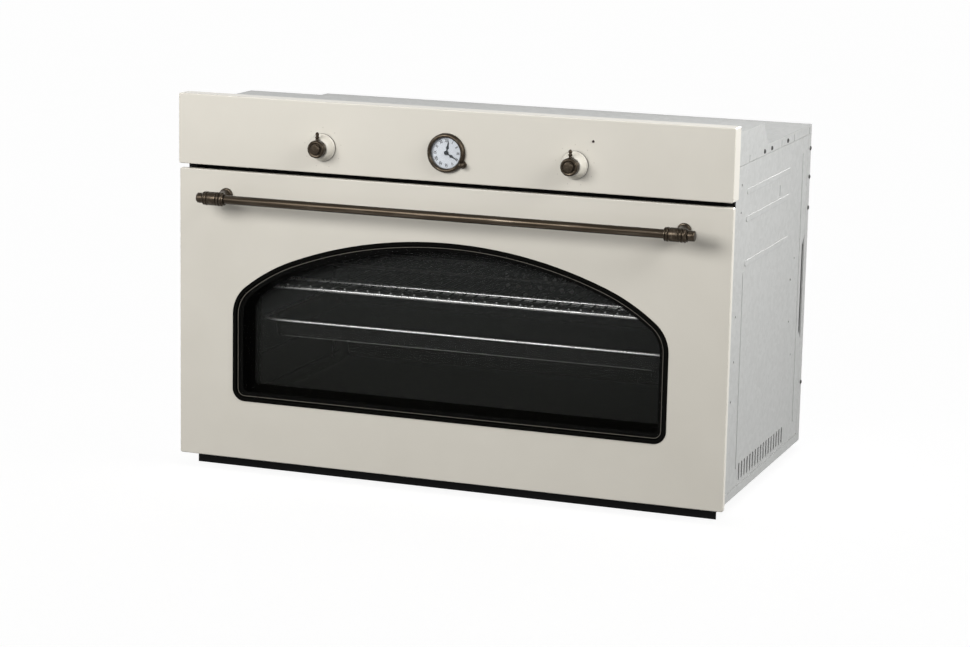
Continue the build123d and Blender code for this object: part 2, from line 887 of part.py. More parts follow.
# Convection fan, on the motor shaft
with BuildPart() as convection_fan:
    fan_back = cavity_end - fan_gap
    with BuildSketch(upright(fan_back, z=fan_rise)):
        Circle(fan_radius)
    extrude(amount=sheet)
    with BuildSketch(upright(fan_back, z=fan_rise)):
        with PolarLocations(fan_radius * 0.62, fan_blades):
            Rectangle(fan_radius * 0.7, 1.6, rotation=24)
        Circle(fan_radius * 0.2)
    extrude(amount=fan_width)
    shaft_end = cavity_end + motor_length - 1.5 * motor_wall
    rod((0, fan_back - fan_width, fan_rise), (0, shaft_end, fan_rise), fan_shaft)
keep(convection_fan, "convection_fan")

with BuildPart() as fan_motor:
    motor_front = cavity_end + sheet
    with BuildSketch(upright(motor_front, z=fan_rise)):
        Circle(motor_radius)
    extrude(amount=-motor_length)
    fillet(fan_motor.faces().sort_by(Axis.Y)[-1].edges(), 4)
    bore_end = motor_front + motor_length - motor_wall
    rod((0, motor_front - 1, fan_rise), (0, bore_end, fan_rise), fan_shaft + fit, Mode.SUBTRACT)
keep(fan_motor, "fan_motor")

# Cooling fan under the top cover: crossflow rotor, scroll case and motor
blower_rise = casing_top - sheet - blower_drop
blower_depth = box_foot + blower_setback
blower_start = blower_x - blower_length / 2
blower_end = blower_x + blower_length / 2
with BuildPart() as cooling_fan_case:
    with BuildSketch(sideways(blower_start - sheet, blower_depth, blower_rise)):
        Circle(blower_case + sheet)
        with Locations((-blower_case - 8, 0)):
            Rectangle(2 * blower_case, 2 * (blower_case + sheet))
        with Locations((0, (blower_drop + blower_case) / 2)):
            Rectangle(30, blower_drop - blower_case)
    extrude(amount=blower_length + 2 * sheet)
    with BuildSketch(sideways(blower_start, blower_depth, blower_rise)):
        Circle(blower_case)
        with Locations((-blower_case - 8, 0)):
            Rectangle(2 * blower_case + 2, 2 * blower_case)
    extrude(amount=blower_length, mode=Mode.SUBTRACT)
    rod(
        (blower_start - 10, blower_depth, blower_rise),
        (blower_end + 10, blower_depth, blower_rise),
        blower_shaft + fit,
        mode=Mode.SUBTRACT,
    )
keep(cooling_fan_case, "cooling_fan_case")

with BuildPart() as cooling_fan_rotor:
    with BuildSketch(sideways(blower_start + 3, blower_depth, blower_rise)):
        with PolarLocations(blower_radius - 4, blower_blades):
            Rectangle(6, 0.8, rotation=35)
    extrude(amount=blower_length - 6)
    for start in (blower_start + 3, blower_x - 0.6, blower_end - 4.2):
        with BuildSketch(sideways(start, blower_depth, blower_rise)):
            Circle(blower_radius)
        extrude(amount=sheet)
    rod(
        (blower_start - sheet, blower_depth, blower_rise),
        (blower_end + sheet + blower_motor_length / 2, blower_depth, blower_rise),
        blower_shaft,
    )
keep(cooling_fan_rotor, "cooling_fan_rotor")

with BuildPart() as cooling_fan_motor:
    motor_start = blower_end + sheet
    rod(
        (motor_start, blower_depth, blower_rise),
        (motor_start + blower_motor_length, blower_depth, blower_rise),
        blower_motor_radius,
    )
    rod(
        (motor_start - 1, blower_depth, blower_rise),
        (motor_start + blower_motor_length - 4, blower_depth, blower_rise),
        blower_shaft + fit,
        mode=Mode.SUBTRACT,
    )
keep(cooling_fan_motor, "cooling_fan_motor")

# Oven lamp: a holder behind the back wall and a glass lens in the cavity
with BuildPart() as lamp_holder:
    holder_end = cavity_end + lamp_holder_length
    socket_end = cavity_end + lamp_socket_depth
    rod((lamp_x, cavity_end, lamp_rise), (lamp_x, holder_end, lamp_rise), lamp_holder_radius)
    rod((lamp_x, cavity_end - 1, lamp_rise), (lamp_x, socket_end, lamp_rise), lamp_socket_radius, Mode.SUBTRACT)
keep(lamp_holder, "lamp_holder")

with BuildPart() as lamp_lens:
    rod((lamp_x, cavity_end - lamp_lens_height, lamp_rise), (lamp_x, cavity_end, lamp_rise), lamp_lens_radius)
    fillet(lamp_lens.faces().sort_by(Axis.Y)[0].edges(), lamp_lens_rounding)
    lens_inside = cavity_end - lamp_lens_height + pane
    rod((lamp_x, lens_inside, lamp_rise), (lamp_x, cavity_end, lamp_rise), lamp_lens_bore, Mode.SUBTRACT)
keep(lamp_lens, "lamp_lens")

# Control panel: a shallow tray with holes for the controls
clock_lug_x = setter_orbit * sin(radians(setter_turn))
clock_lug_z = setter_orbit * cos(radians(setter_turn))
with BuildPart() as control_panel:
    with BuildSketch(upright(panel_depth)):
        with Locations((0, front_height - panel_height / 2)):
            RectangleRounded(front_width, panel_height, front_corner)
    extrude(amount=panel_depth)
    fillet(control_panel.faces().sort_by(Axis.Y)[0].edges(), front_rounding)
    with BuildSketch(upright(panel_depth)):
        with Locations((0, front_height - panel_height / 2)):
            RectangleRounded(front_width - 2 * sheet, panel_height - 2 * sheet, front_corner - sheet)
    extrude(amount=panel_depth - sheet, mode=Mode.SUBTRACT)
    for side in (-1, 1):
        slab(
            (side * (half_front - sheet), side * (half_casing - panel_lip)),
            (panel_depth - sheet, panel_depth),
            (panel_bottom + sheet, front_height - sheet),
        )
    with BuildSketch(upright(0)):
        with Locations((-knob_x, knob_rise), (knob_x, knob_rise)):
            Circle(spindle_hole)
        with Locations((indicator_x, indicator_rise)):
            Circle(indicator_radius)
        with Locations((0, clock_rise)):
            Circle(case_boss)
        with Locations((clock_lug_x, clock_rise + clock_lug_z)):
            Circle(setter_stem + 1)
    extrude(amount=-sheet, mode=Mode.SUBTRACT)
keep(control_panel, "control_panel")

with BuildPart() as indicator_lens:
    lens_end = (indicator_x, indicator_length, indicator_rise)
    rod((indicator_x, -indicator_proud, indicator_rise), lens_end, indicator_radius)
    rod((indicator_x, sheet, indicator_rise), lens_end, indicator_radius + indicator_collar)
    fillet(indicator_lens.faces().sort_by(Axis.Y)[0].edges(), indicator_proud * 0.8)
keep(indicator_lens, "indicator_lens")

# Bracket that carries the switch and the thermostat
with BuildPart() as control_bracket:
    bracket_half = knob_x + bracket_side
    slab((-bracket_half, bracket_half), (bracket_depth, bracket_depth + sheet), (frame_top, box_top - sheet))
    slab(
        (-bracket_half, bracket_half),
        (bracket_depth, bracket_depth + bracket_flange),
        (box_top - 2 * sheet, box_top - sheet),
    )
    for side in (-1, 1):
        rod(
            (side * knob_x, bracket_depth - 1, knob_rise),
            (side * knob_x, bracket_depth + sheet + 1, knob_rise),
            bushing_radius,
            mode=Mode.SUBTRACT,
        )
keep(control_bracket, "control_bracket")


def control_body(side):
    """Switch or thermostat behind a knob, with its bushing and terminals."""
    x = side * knob_x
    body_front = bracket_depth + sheet
    with BuildPart() as body:
        slab(
            (x - switch_size / 2, x + switch_size / 2),
            (body_front, body_front + switch_depth),
            (knob_rise - switch_size / 2, knob_rise + switch_size / 2),
        )
        fillet(body.edges().filter_by(Axis.Y), 5)
        rod((x, bracket_depth - 8, knob_rise), (x, body_front, knob_rise), bushing_radius)
        with Locations((x, behind(body_front + switch_depth + 4), knob_rise)):
            with GridLocations(12, 1, 3, 1):
                Box(6, 8, 0.8)
        bore_end = body_front + spindle_bite
        rod((x, bracket_depth - 9, knob_rise), (x, bore_end, knob_rise), spindle_radius + fit, Mode.SUBTRACT)
    return body


function_switch = control_body(-1)
keep(function_switch, "function_switch")
thermostat_body = control_body(1)
keep(thermostat_body, "thermostat_body")


def knob_skirt(side):
    """Cream stepped skirt of a knob."""
    root = -knob_gap
    with BuildPart() as skirt:
        turned(
            side * knob_x,
            knob_rise,
            [
                (spindle_radius, root),
                (skirt_radius, root),
                (skirt_radius, root - skirt_rim),
                (skirt_shoulder, root - skirt_rim - 0.8),
                (skirt_shoulder - 0.8, root - skirt_rim - 5),
                (skirt_nose + 1.2, root - skirt_height + 2),
                (skirt_nose, root - skirt_height),
                (spindle_radius, root - skirt_height),
            ],
        )
    return skirt


def knob_cap(side):
    """Bronze cap of a knob, with its centre button and beaded pointer."""
    root = -knob_gap - skirt_height
    top = root - cap_height
    x = side * knob_x
    pointer_depth = root - cap_height * 0.3
    with BuildPart() as cap:
        turned(
            x,
            knob_rise,
            [
                (0, root),
                (cap_radius - 1, root),
                (cap_radius, root - 1),
                (cap_radius, top + 2.4),
                (cap_radius - 0.8, top + 0.8),
                (cap_radius - 2.4, top),
                (button_radius + 1.2, top + 0.8),
                (button_radius, top + 0.6),
                (button_radius, top - button_height + 1),
                (button_radius - 1, top - button_height),
                (0, top - button_height),
            ],
        )
        pointer_low, pointer_high = knob_rise + cap_radius - 1, knob_rise + pointer_tip - 1
        rod((x, pointer_depth, pointer_low), (x, pointer_depth, pointer_high), pointer_radius)
        beads = ((cap_radius + 4, pointer_bead * 0.8), (pointer_tip - pointer_bead, pointer_bead))
        for reach, radius in beads:
            with Locations((x, behind(pointer_depth), knob_rise + reach)):
                Sphere(radius)
        rod((x, root - cap_bore, knob_rise), (x, root + 1, knob_rise), spindle_radius, mode=Mode.SUBTRACT)
    return cap


def knob_spindle(side):
    """Steel spindle from the cap down into the switch or thermostat."""
    x = side * knob_x
    start = -knob_gap - skirt_height - cap_bore
    with BuildPart() as spindle:
        rod((x, start, knob_rise), (x, start + spindle_length, knob_rise), spindle_radius)
    return spindle


left_knob_skirt = knob_skirt(-1)
keep(left_knob_skirt, "left_knob_skirt")
left_knob_cap = knob_cap(-1)
keep(left_knob_cap, "left_knob_cap")
left_spindle = knob_spindle(-1)
keep(left_spindle, "left_spindle")
right_knob_skirt = knob_skirt(1)
keep(right_knob_skirt, "right_knob_skirt")
right_knob_cap = knob_cap(1)
keep(right_knob_cap, "right_knob_cap")
right_spindle = knob_spindle(1)
keep(right_spindle, "right_spindle")

# Clock: case behind the panel, dial, hands on a fixed post, glass and bezel
setter_x = clock_lug_x
setter_rise = clock_rise + clock_lug_z
with BuildPart() as clock_case:
    rod((0, sheet, clock_rise), (0, sheet + case_depth, clock_rise), case_radius)
    rod((0, 0, clock_rise), (0, sheet, clock_rise), case_boss)
    rod((setter_x, sheet, setter_rise), (setter_x, sheet + 12, setter_rise), setter_lug)
    rod((setter_x, 0, setter_rise), (setter_x, sheet + 9, setter_rise), setter_stem + fit, mode=Mode.SUBTRACT)
keep(clock_case, "clock_case")

with BuildPart() as clock_dial:
    rod((0, -dial_sheet, clock_rise), (0, 0, clock_rise), dial_radius)
    hands_room = 2 * (hand_gap + hand_sheet) + 0.4
    rod((0, -dial_sheet - hands_room, clock_rise), (0, -dial_sheet, clock_rise), post_radius)
keep(clock_dial, "clock_dial")


def hand(length, turn, depth, width):
    """Spade-shaped hand on the post, at a turn clockwise from twelve."""
    plane = Plane(
        origin=(0, behind(depth), clock_rise),
        x_dir=(cos(radians(turn)), 0, -sin(radians(turn))),
        z_dir=(0, -1, 0),
    )
    with BuildPart() as blade:
        with BuildSketch(plane):
            Circle(hand_hub)
            with BuildLine():
                Polyline(
                    (-width / 2, 0),
                    (-width / 2, length * 0.32),
                    (-width * 1.4, length * 0.42),
                    (0, length),
                    (width * 1.4, length * 0.42),
                    (width / 2, length * 0.32),
                    (width / 2, 0),
                    close=True,
                )
            make_face()
            Circle(post_radius + fit, mode=Mode.SUBTRACT)
        extrude(amount=hand_sheet)
    return blade


hour_depth = -dial_sheet - hand_gap
minute_depth = hour_depth - hand_sheet - hand_gap
hour_hand = hand(hour_length, hour_turn, hour_depth, hour_width)
keep(hour_hand, "hour_hand")
minute_hand = hand(minute_length, minute_turn, minute_depth, minute_width)
keep(minute_hand, "minute_hand")

with BuildPart() as clock_glass:
    glass_back = -bezel_height + glass_recess + glass_sheet
    rod((0, glass_back - glass_sheet, clock_rise), (0, glass_back, clock_rise), bezel_opening + 1.2)
keep(clock_glass, "clock_glass")

with BuildPart() as clock_bezel:
    turned(
        0,
        clock_rise,
        [
            (dial_radius, 0),
            (bezel_radius, 0),
            (bezel_radius, -bezel_height * 0.5),
            (bezel_radius - 1.2, -bezel_height * 0.85),
            (bezel_radius - 3, -bezel_height),
            (bezel_opening + 1.2, -bezel_height + 0.4),
            (bezel_opening, glass_back - glass_sheet),
            (bezel_opening + 1.2, glass_back - glass_sheet),
            (bezel_opening + 1.2, glass_back),
            (bezel_opening, glass_back),
            (bezel_opening, -dial_sheet),
            (dial_radius, -dial_sheet),
        ],
    )
    with BuildSketch(upright(0, setter_x, setter_rise)):
        Circle(setter_lug)
    extrude(amount=bezel_height * 0.45)
    rod((0, -bezel_height - 1, clock_rise), (0, 0, clock_rise), bezel_opening, mode=Mode.SUBTRACT)
    rod(
        (setter_x, -bezel_height - 1, setter_rise),
        (setter_x, 1, setter_rise),
        setter_stem + fit,
        mode=Mode.SUBTRACT,
    )
    rod(
        (setter_x, -bezel_height - 1, setter_rise),
        (setter_x, -bezel_height * 0.45, setter_rise),
        setter_radius + 0.6,
        mode=Mode.SUBTRACT,
    )
keep(clock_bezel, "clock_bezel")

# Setting knob on its stem at the rim of the clock
with BuildPart() as setting_knob:
    knob_root = -bezel_height * 0.45 - 0.4
    turned(
        setter_x,
        setter_rise,
        [
            (0, knob_root),
            (setter_radius - 1, knob_root),
            (setter_radius, knob_root - 0.8),
            (setter_radius, knob_root - 2.4),
            (setter_radius - 1.3, knob_root - 3.4),
            (setter_radius - 1.3, knob_root - 4.4),
            (setter_radius, knob_root - 5.4),
            (setter_radius, -setter_reach + 1.2),
            (setter_radius - 1.2, -setter_reach),
            (0, -setter_reach),
        ],
    )
    rod((setter_x, knob_root, setter_rise), (setter_x, sheet + 8, setter_rise), setter_stem)
keep(setting_knob, "setting_knob")


def arch(inset=0.0, mode=Mode.ADD):
    """Arched outline of the window, drawn in by an inset."""
    corner = max(window_corner - inset, 4.0)
    with BuildLine() as outline:
        crown = JernArc((0, window_top - inset), (1, 0), crown_radius - inset, -crown_turn)
        haunch = JernArc(crown @ 1, crown % 1, haunch_radius - inset, crown_turn - haunch_turn)
        shoulder = JernArc(haunch @ 1, haunch % 1, shoulder_radius - inset, haunch_turn - 90)
        jamb = Line(shoulder @ 1, (window_half - inset, window_bottom + inset + corner))
        foot = JernArc(jamb @ 1, (0, -1), corner, -90)
        Line(foot @ 1, (0, window_bottom + inset))
        mirror(about=Plane.YZ)
    make_face(outline.edges(), mode=mode)


# Door skin: a cream tray with the window opening
with BuildPart() as door_skin:
    with BuildSketch(upright(door_setback + skin_depth)):
        with Locations((0, (door_rise + door_top) / 2)):
            RectangleRounded(front_width, door_top - door_rise, front_corner)
    extrude(amount=skin_depth)
    fillet(door_skin.faces().sort_by(Axis.Y)[0].edges(), front_rounding)
    with BuildSketch(upright(door_setback + skin_depth)):
        with Locations((0, (door_rise + door_top) / 2)):
            RectangleRounded(front_width - 2 * sheet, door_top - door_rise - 2 * sheet, front_corner - sheet)
    extrude(amount=skin_depth - sheet, mode=Mode.SUBTRACT)
    with BuildSketch(upright(door_setback)):
        arch(gasket_cover)
    extrude(amount=-sheet, mode=Mode.SUBTRACT)
    for side in (-1, 1):
        slab(
            (side * hinge_x - arm_width / 2 - notch_play, side * hinge_x + arm_width / 2 + notch_play),
            (skin_back, door_setback + skin_depth),
            (door_rise - 1, door_rise + sheet),
            mode=Mode.SUBTRACT,
        )
    for start in bracket_starts:
        post_x = start + ring_length + barrel_length / 2
        rod(
            (post_x, door_setback - sheet, handle_rise),
            (post_x, skin_back + sheet, handle_rise),
            handle_screw,
            mode=Mode.SUBTRACT,
        )
keep(door_skin, "door_skin")

# Black gasket that frames the window
with BuildPart() as window_gasket:
    with BuildSketch(upright(door_setback)):
        arch()
        arch(gasket_width, mode=Mode.SUBTRACT)
    extrude(amount=gasket_proud)
    fillet(window_gasket.faces().sort_by(Axis.Y)[0].edges(), gasket_proud * 0.6)
    with BuildSketch(upright(door_setback)):
        arch(gasket_cover)
        arch(gasket_width, mode=Mode.SUBTRACT)
    extrude(amount=-sheet)
keep(window_gasket, "window_gasket")

# Panes
with BuildPart() as outer_glass:
    slab(
        (-window_half - pane_margin, window_half + pane_margin),
        (skin_back, skin_back + pane),
        (window_bottom - pane_margin, window_top + pane_margin),
    )
    fillet(outer_glass.edges().filter_by(Axis.Y), 6)
keep(outer_glass, "outer_glass")

inner_glass_half = liner_half - sheet - glass_side_gap
inner_glass_top = liner_high - sheet - glass_side_gap
with BuildPart() as inner_glass:
    slab((-inner_glass_half, inner_glass_half), (glass_face, door_inner), (apron_top, inner_glass_top))
    fillet(inner_glass.edges().filter_by(Axis.Y), 8)
keep(inner_glass, "inner_glass")

# Inner frame of the door
with BuildPart() as door_liner:
    slab((-liner_half, liner_half), (skin_back, door_inner), (liner_low, liner_high))
    slab(
        (sheet - liner_half, liner_half - sheet),
        (skin_back - 1, glass_face - sheet),
        (liner_low + sheet, liner_high - sheet),
        mode=Mode.SUBTRACT,
    )
    slab(
        (sheet - liner_half, liner_half - sheet),
        (glass_face, door_inner + 1),
        (apron_top - glass_side_gap, liner_high - sheet),
        mode=Mode.SUBTRACT,
    )
    slab(
        (liner_lip - liner_half, liner_half - liner_lip),
        (skin_back, door_inner),
        (apron_top + liner_lip, liner_high - liner_lip),
        mode=Mode.SUBTRACT,
    )
    slab(
        (sheet - liner_half, liner_half - sheet),
        (glass_face - sheet - 1, door_inner - sheet),
        (liner_low + sheet, apron_top - glass_side_gap - sheet),
        mode=Mode.SUBTRACT,
    )
    for side in (-1, 1):
        slab(
            (side * hinge_x - arm_width / 2 - notch_play, side * hinge_x + arm_width / 2 + notch_play),
            (skin_back, door_inner + 1),
            (liner_low - 1, hinge_rise + notch_room),
            mode=Mode.SUBTRACT,
        )
keep(door_liner, "door_liner")

# Clips that hold the inner pane, two below and two above
with BuildPart() as glass_clips:
    for side in (-1, 1):
        span = (side * clip_x - clip_width / 2, side * clip_x + clip_width / 2)
        low_edge = apron_top - glass_side_gap
        slab(span, (door_inner, door_inner + clip_sheet), (low_edge - clip_grip, apron_top + clip_grip))
        slab(span, (door_inner, door_inner + clip_sheet), (inner_glass_top - clip_grip, liner_high))
keep(glass_clips, "glass_clips")

# Hinges: arms with plates behind the front frame, and channels and pins in the door
with BuildPart() as hinge_arms:
    arm_end = frame_back + arm_plate
    plate_half = half_casing - side_flange - seam - hinge_x
    for side in (-1, 1):
        with BuildSketch(sideways(side * hinge_x - arm_width / 2, hinge_depth, hinge_rise)):
            Circle(arm_head)
            with Locations(((arm_end - hinge_depth) / 2, 0)):
                Rectangle(arm_end - hinge_depth, arm_height)
            Circle(hinge_pin + fit, mode=Mode.SUBTRACT)
        extrude(amount=arm_width)
        slab(
            (side * hinge_x - plate_half, side * hinge_x + plate_half),
            (frame_back, arm_end),
            (hinge_rise - arm_plate_low, hinge_rise + arm_plate_high),
        )
keep(hinge_arms, "hinge_arms")

with BuildPart() as hinge_channels:
    for side in (-1, 1):
        inner_gap = arm_width / 2 + notch_play
        channel_low = liner_low + sheet
        slab(
            (side * hinge_x - inner_gap - sheet, side * hinge_x + inner_gap + sheet),
            (skin_back, channel_back),
            (channel_low, channel_low + channel_height),
        )
        slab(
            (side * hinge_x - inner_gap, side * hinge_x + inner_gap),
            (skin_back + sheet, channel_back + 1),
            (channel_low - 1, channel_low + channel_height + 1),
            mode=Mode.SUBTRACT,
        )
        rod(
            (side * hinge_x - inner_gap - 2 * sheet, hinge_depth, hinge_rise),
            (side * hinge_x + inner_gap + 2 * sheet, hinge_depth, hinge_rise),
            hinge_pin,
            mode=Mode.SUBTRACT,
        )
keep(hinge_channels, "hinge_channels")

with BuildPart() as hinge_pins:
    for side in (-1, 1):
        pin_half = arm_width / 2 + notch_play + sheet
        rod(
            (side * hinge_x - pin_half, hinge_depth, hinge_rise),
            (side * hinge_x + pin_half, hinge_depth, hinge_rise),
            hinge_pin,
        )
keep(hinge_pins, "hinge_pins")

# Handle: bar, two equal brackets, end finials and their screws
with BuildPart() as handle_bar:
    rod((bar_left, bar_depth, handle_rise), (bar_right, bar_depth, handle_rise), bar_radius)
keep(handle_bar, "handle_bar")

with BuildPart() as handle_brackets:
    for left in bracket_starts:
        barrel_start = left + ring_length
        pair_start = barrel_start + barrel_length
        post_x = barrel_start + barrel_length / 2
        pair_middle = pair_start + ring_pair_length / 2
        with BuildSketch(upright(bar_depth, left, handle_rise)):
            with BuildLine():
                Polyline(
                    (0, bar_radius),
                    (0, ring_radius - 2 * groove),
                    (2, ring_radius),
                    (ring_length - 2, ring_radius),
                    (ring_length - groove, barrel_radius - groove),
                    (ring_length, barrel_radius),
                    (pair_start - left, barrel_radius),
                    (pair_start - left + groove, barrel_radius - groove),
                    (pair_start - left + 2 * groove, ring_radius),
                    (pair_middle - left - groove, ring_radius),
                    (pair_middle - left, ring_radius - 2 * groove),
                    (pair_middle - left + groove, ring_radius),
                    (bracket_length - 2 * groove, ring_radius),
                    (bracket_length, ring_radius - 2 * groove),
                    (bracket_length, bar_radius),
                    close=True,
                )
            make_face()
        revolve(axis=Axis((0, behind(bar_depth), handle_rise), (1, 0, 0)))
        rod((post_x, bar_depth + bar_radius + 1, handle_rise), (post_x, door_setback, handle_rise), post_root)
        with BuildSketch(upright(door_setback, post_x, handle_rise)):
            Circle(rosette_radius)
        extrude(amount=rosette_sheet, taper=20)
        rod(
            (post_x, door_setback - screw_bite, handle_rise),
            (post_x, door_setback, handle_rise),
            handle_screw,
            mode=Mode.SUBTRACT,
        )
    rod(
        (bar_left - 1, bar_depth, handle_rise),
        (bar_right + 1, bar_depth, handle_rise),
        bar_radius,
        mode=Mode.SUBTRACT,
    )
keep(handle_brackets, "handle_brackets")

with BuildPart() as handle_finials:
    for start, out in ((bar_left, -1), (bar_right, 1)):
        tip = start + out * finial_length
        rod((start, bar_depth, handle_rise), (tip, bar_depth, handle_rise), finial_radius)
    ends = handle_finials.faces().filter_by(Axis.X).sort_by(Axis.X)
    fillet(ends[0].edges() + ends[-1].edges(), 2.4)
keep(handle_finials, "handle_finials")

with BuildPart() as handle_screws:
    for left in bracket_starts:
        post_x = left + ring_length + barrel_length / 2
        rod((post_x, door_setback - screw_bite, handle_rise), (post_x, skin_back, handle_rise), handle_screw)
        rod((post_x, skin_back, handle_rise), (post_x, skin_back + 3, handle_rise), handle_screw * 1.8)
keep(handle_screws, "handle_screws")

# Wire shelf
shelf_rise = level_first + shelf_level * level_pitch + rack_wire + slide_play + shelf_rod
shelf_half = half_cavity - 2 * rack_post - shelf_side_play
with BuildPart() as wire_shelf:
    rod_half = shelf_half - shelf_rod
    back_depth = shelf_front + shelf_depth
    with BuildLine(Plane.XY.offset(shelf_rise)) as frame_line:
        Polyline(
            (-rod_half, behind(shelf_front)),
            (rod_half, behind(shelf_front)),
            (rod_half, behind(back_depth)),
            (-rod_half, behind(back_depth)),
            close=True,
        )
        fillet(frame_line.vertices(), shelf_bend)
    with BuildSketch(Plane(origin=frame_line.line @ 0, z_dir=frame_line.line % 0)):
        Circle(shelf_rod)
    sweep()
    wire_rise = shelf_rise + shelf_rod + shelf_wire - rack_bite
    wire_count = int((2 * rod_half - 2 * shelf_wire_pitch) / shelf_wire_pitch) + 1
    for number in range(wire_count):
        wire_x = (number - (wire_count - 1) / 2) * shelf_wire_pitch
        wire_start, wire_end = shelf_front - shelf_rod, back_depth + shelf_rod
        rod((wire_x, wire_start, wire_rise), (wire_x, wire_end, wire_rise), shelf_wire)
    for depth in (shelf_front + shelf_bar_first, shelf_front + shelf_bar_second):
        rod((-rod_half, depth, shelf_rise), (rod_half, depth, shelf_rise), shelf_rod * 0.9)
keep(wire_shelf, "wire_shelf")

# Baking tray
tray_rise = level_first + tray_level * level_pitch + rack_wire + slide_play
tray_half = half_cavity - 2 * rack_post - shelf_side_play
tray_middle = behind(shelf_front + shelf_depth / 2)
with BuildPart() as baking_tray:
    pan_width = 2 * (tray_half - tray_rim)
    pan_depth = shelf_depth - 2 * tray_rim
    with BuildSketch(Plane.XY.offset(tray_rise)):
        with Locations((0, tray_middle)):
            RectangleRounded(pan_width, pan_depth, pan_corner)
    extrude(amount=-tray_drop, taper=tray_taper)
    with BuildSketch(Plane.XY.offset(tray_rise)):
        with Locations((0, tray_middle)):
            RectangleRounded(2 * tray_half, shelf_depth, tray_corner)
    extrude(amount=sheet)
    with BuildSketch(Plane.XY.offset(tray_rise + sheet)):
        with Locations((0, tray_middle)):
            RectangleRounded(pan_width - 2 * tray_sheet, pan_depth - 2 * tray_sheet, pan_corner - tray_sheet)
    extrude(amount=-(tray_drop + sheet - tray_sheet), taper=tray_taper, mode=Mode.SUBTRACT)
keep(baking_tray, "baking_tray")

# Cable gland
with BuildPart() as cable_gland:
    gland_start = casing_depth - sheet - gland_inside
    gland_end = casing_depth + gland_reach
    rod((gland_x, gland_start, gland_rise), (gland_x, gland_end, gland_rise), gland_radius)
    with BuildSketch(upright(casing_depth, gland_x, gland_rise)):
        RegularPolygon(gland_nut, 6)
    extrude(amount=-8)
    rod(
        (gland_x, gland_start - 1, gland_rise),
        (gland_x, gland_end + 1, gland_rise),
        gland_bore,
        mode=Mode.SUBTRACT,
    )
keep(cable_gland, "cable_gland")

# Casing screws
with BuildPart() as casing_screws:
    for side in (-1, 1):
        for rise in wrap_screw_rises:
            screw(side * half_casing, wrap_screw_depth, rise, (side, 0, 0), 2 * sheet)
        for depth in (*cover_screw_depths, box_screw_depth):
            screw(side * half_casing, depth, cover_screw_rise, (side, 0, 0), sheet)
        for rise in back_screw_rises:
            screw(side * back_screw_x, casing_depth, rise, (0, 1, 0), sheet)
keep(casing_screws, "casing_screws")
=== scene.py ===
import json
import math

import bmesh
import bpy
from mathutils import Matrix, Vector


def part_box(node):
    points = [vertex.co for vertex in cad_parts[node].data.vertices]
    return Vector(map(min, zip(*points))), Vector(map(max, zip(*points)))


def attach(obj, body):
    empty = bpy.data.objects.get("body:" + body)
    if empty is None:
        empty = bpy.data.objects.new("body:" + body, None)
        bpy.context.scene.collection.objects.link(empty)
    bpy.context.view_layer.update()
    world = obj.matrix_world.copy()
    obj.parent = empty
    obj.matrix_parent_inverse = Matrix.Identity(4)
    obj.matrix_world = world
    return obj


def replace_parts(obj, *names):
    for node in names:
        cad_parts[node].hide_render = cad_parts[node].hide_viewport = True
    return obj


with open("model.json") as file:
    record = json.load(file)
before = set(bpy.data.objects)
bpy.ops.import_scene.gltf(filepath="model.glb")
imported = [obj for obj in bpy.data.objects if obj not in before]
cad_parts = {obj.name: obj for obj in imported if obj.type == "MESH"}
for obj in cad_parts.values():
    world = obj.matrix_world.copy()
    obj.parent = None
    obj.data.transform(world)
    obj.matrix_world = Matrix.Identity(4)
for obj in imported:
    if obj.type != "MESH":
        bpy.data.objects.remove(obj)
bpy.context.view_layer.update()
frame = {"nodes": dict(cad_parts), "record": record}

MM = 0.001
PANEL_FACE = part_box("control_panel")[0].y
PANEL_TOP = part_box("control_panel")[1].z
DOOR_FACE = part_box("door_skin")[0].y
DOOR_DEPTH = (DOOR_FACE - PANEL_FACE) / MM


def behind(depth):
    """Y in metres at a depth in millimetres behind the face of the control panel."""
    return PANEL_FACE + depth * MM


# Materials


def new_material(name, colour, roughness, metallic=0.0, gloss=0.5):
    """Material with a Principled shader and its object coordinates, in metres."""
    made = bpy.data.materials.new(name)
    made.use_nodes = True
    tree = made.node_tree
    shader = tree.nodes["Principled BSDF"]
    shader.inputs["Base Color"].default_value = (*colour, 1.0)
    shader.inputs["Roughness"].default_value = roughness
    shader.inputs["Metallic"].default_value = metallic
    shader.inputs["Specular IOR Level"].default_value = gloss
    where = tree.nodes.new("ShaderNodeTexCoord").outputs["Object"]
    return made, tree, shader, where


def noise(tree, where, scale, detail=2.0, stretch=(1, 1, 1), rough=0.5):
    """Noise value at each point, stretched by a factor in each direction."""
    mapping = tree.nodes.new("ShaderNodeMapping")
    mapping.inputs["Scale"].default_value = stretch
    tree.links.new(where, mapping.inputs["Vector"])
    texture = tree.nodes.new("ShaderNodeTexNoise")
    texture.inputs["Scale"].default_value = scale
    texture.inputs["Detail"].default_value = detail
    texture.inputs["Roughness"].default_value = rough
    tree.links.new(mapping.outputs["Vector"], texture.inputs["Vector"])
    return texture.outputs["Fac"]


def cells(tree, where, scale):
    """Cell pattern: distance to the middle of the cell and a random colour for each."""
    texture = tree.nodes.new("ShaderNodeTexVoronoi")
    texture.inputs["Scale"].default_value = scale
    tree.links.new(where, texture.inputs["Vector"])
    return texture


def ramp(tree, value, stops):
    """Colour ramp over a value; each stop is a position and a colour."""
    node = tree.nodes.new("ShaderNodeValToRGB")
    while len(node.color_ramp.elements) < len(stops):
        node.color_ramp.elements.new(0.5)
    for element, (position, colour) in zip(node.color_ramp.elements, stops):
        element.position = position
        element.color = (*colour, 1.0)
    tree.links.new(value, node.inputs["Fac"])
    return node.outputs["Color"]


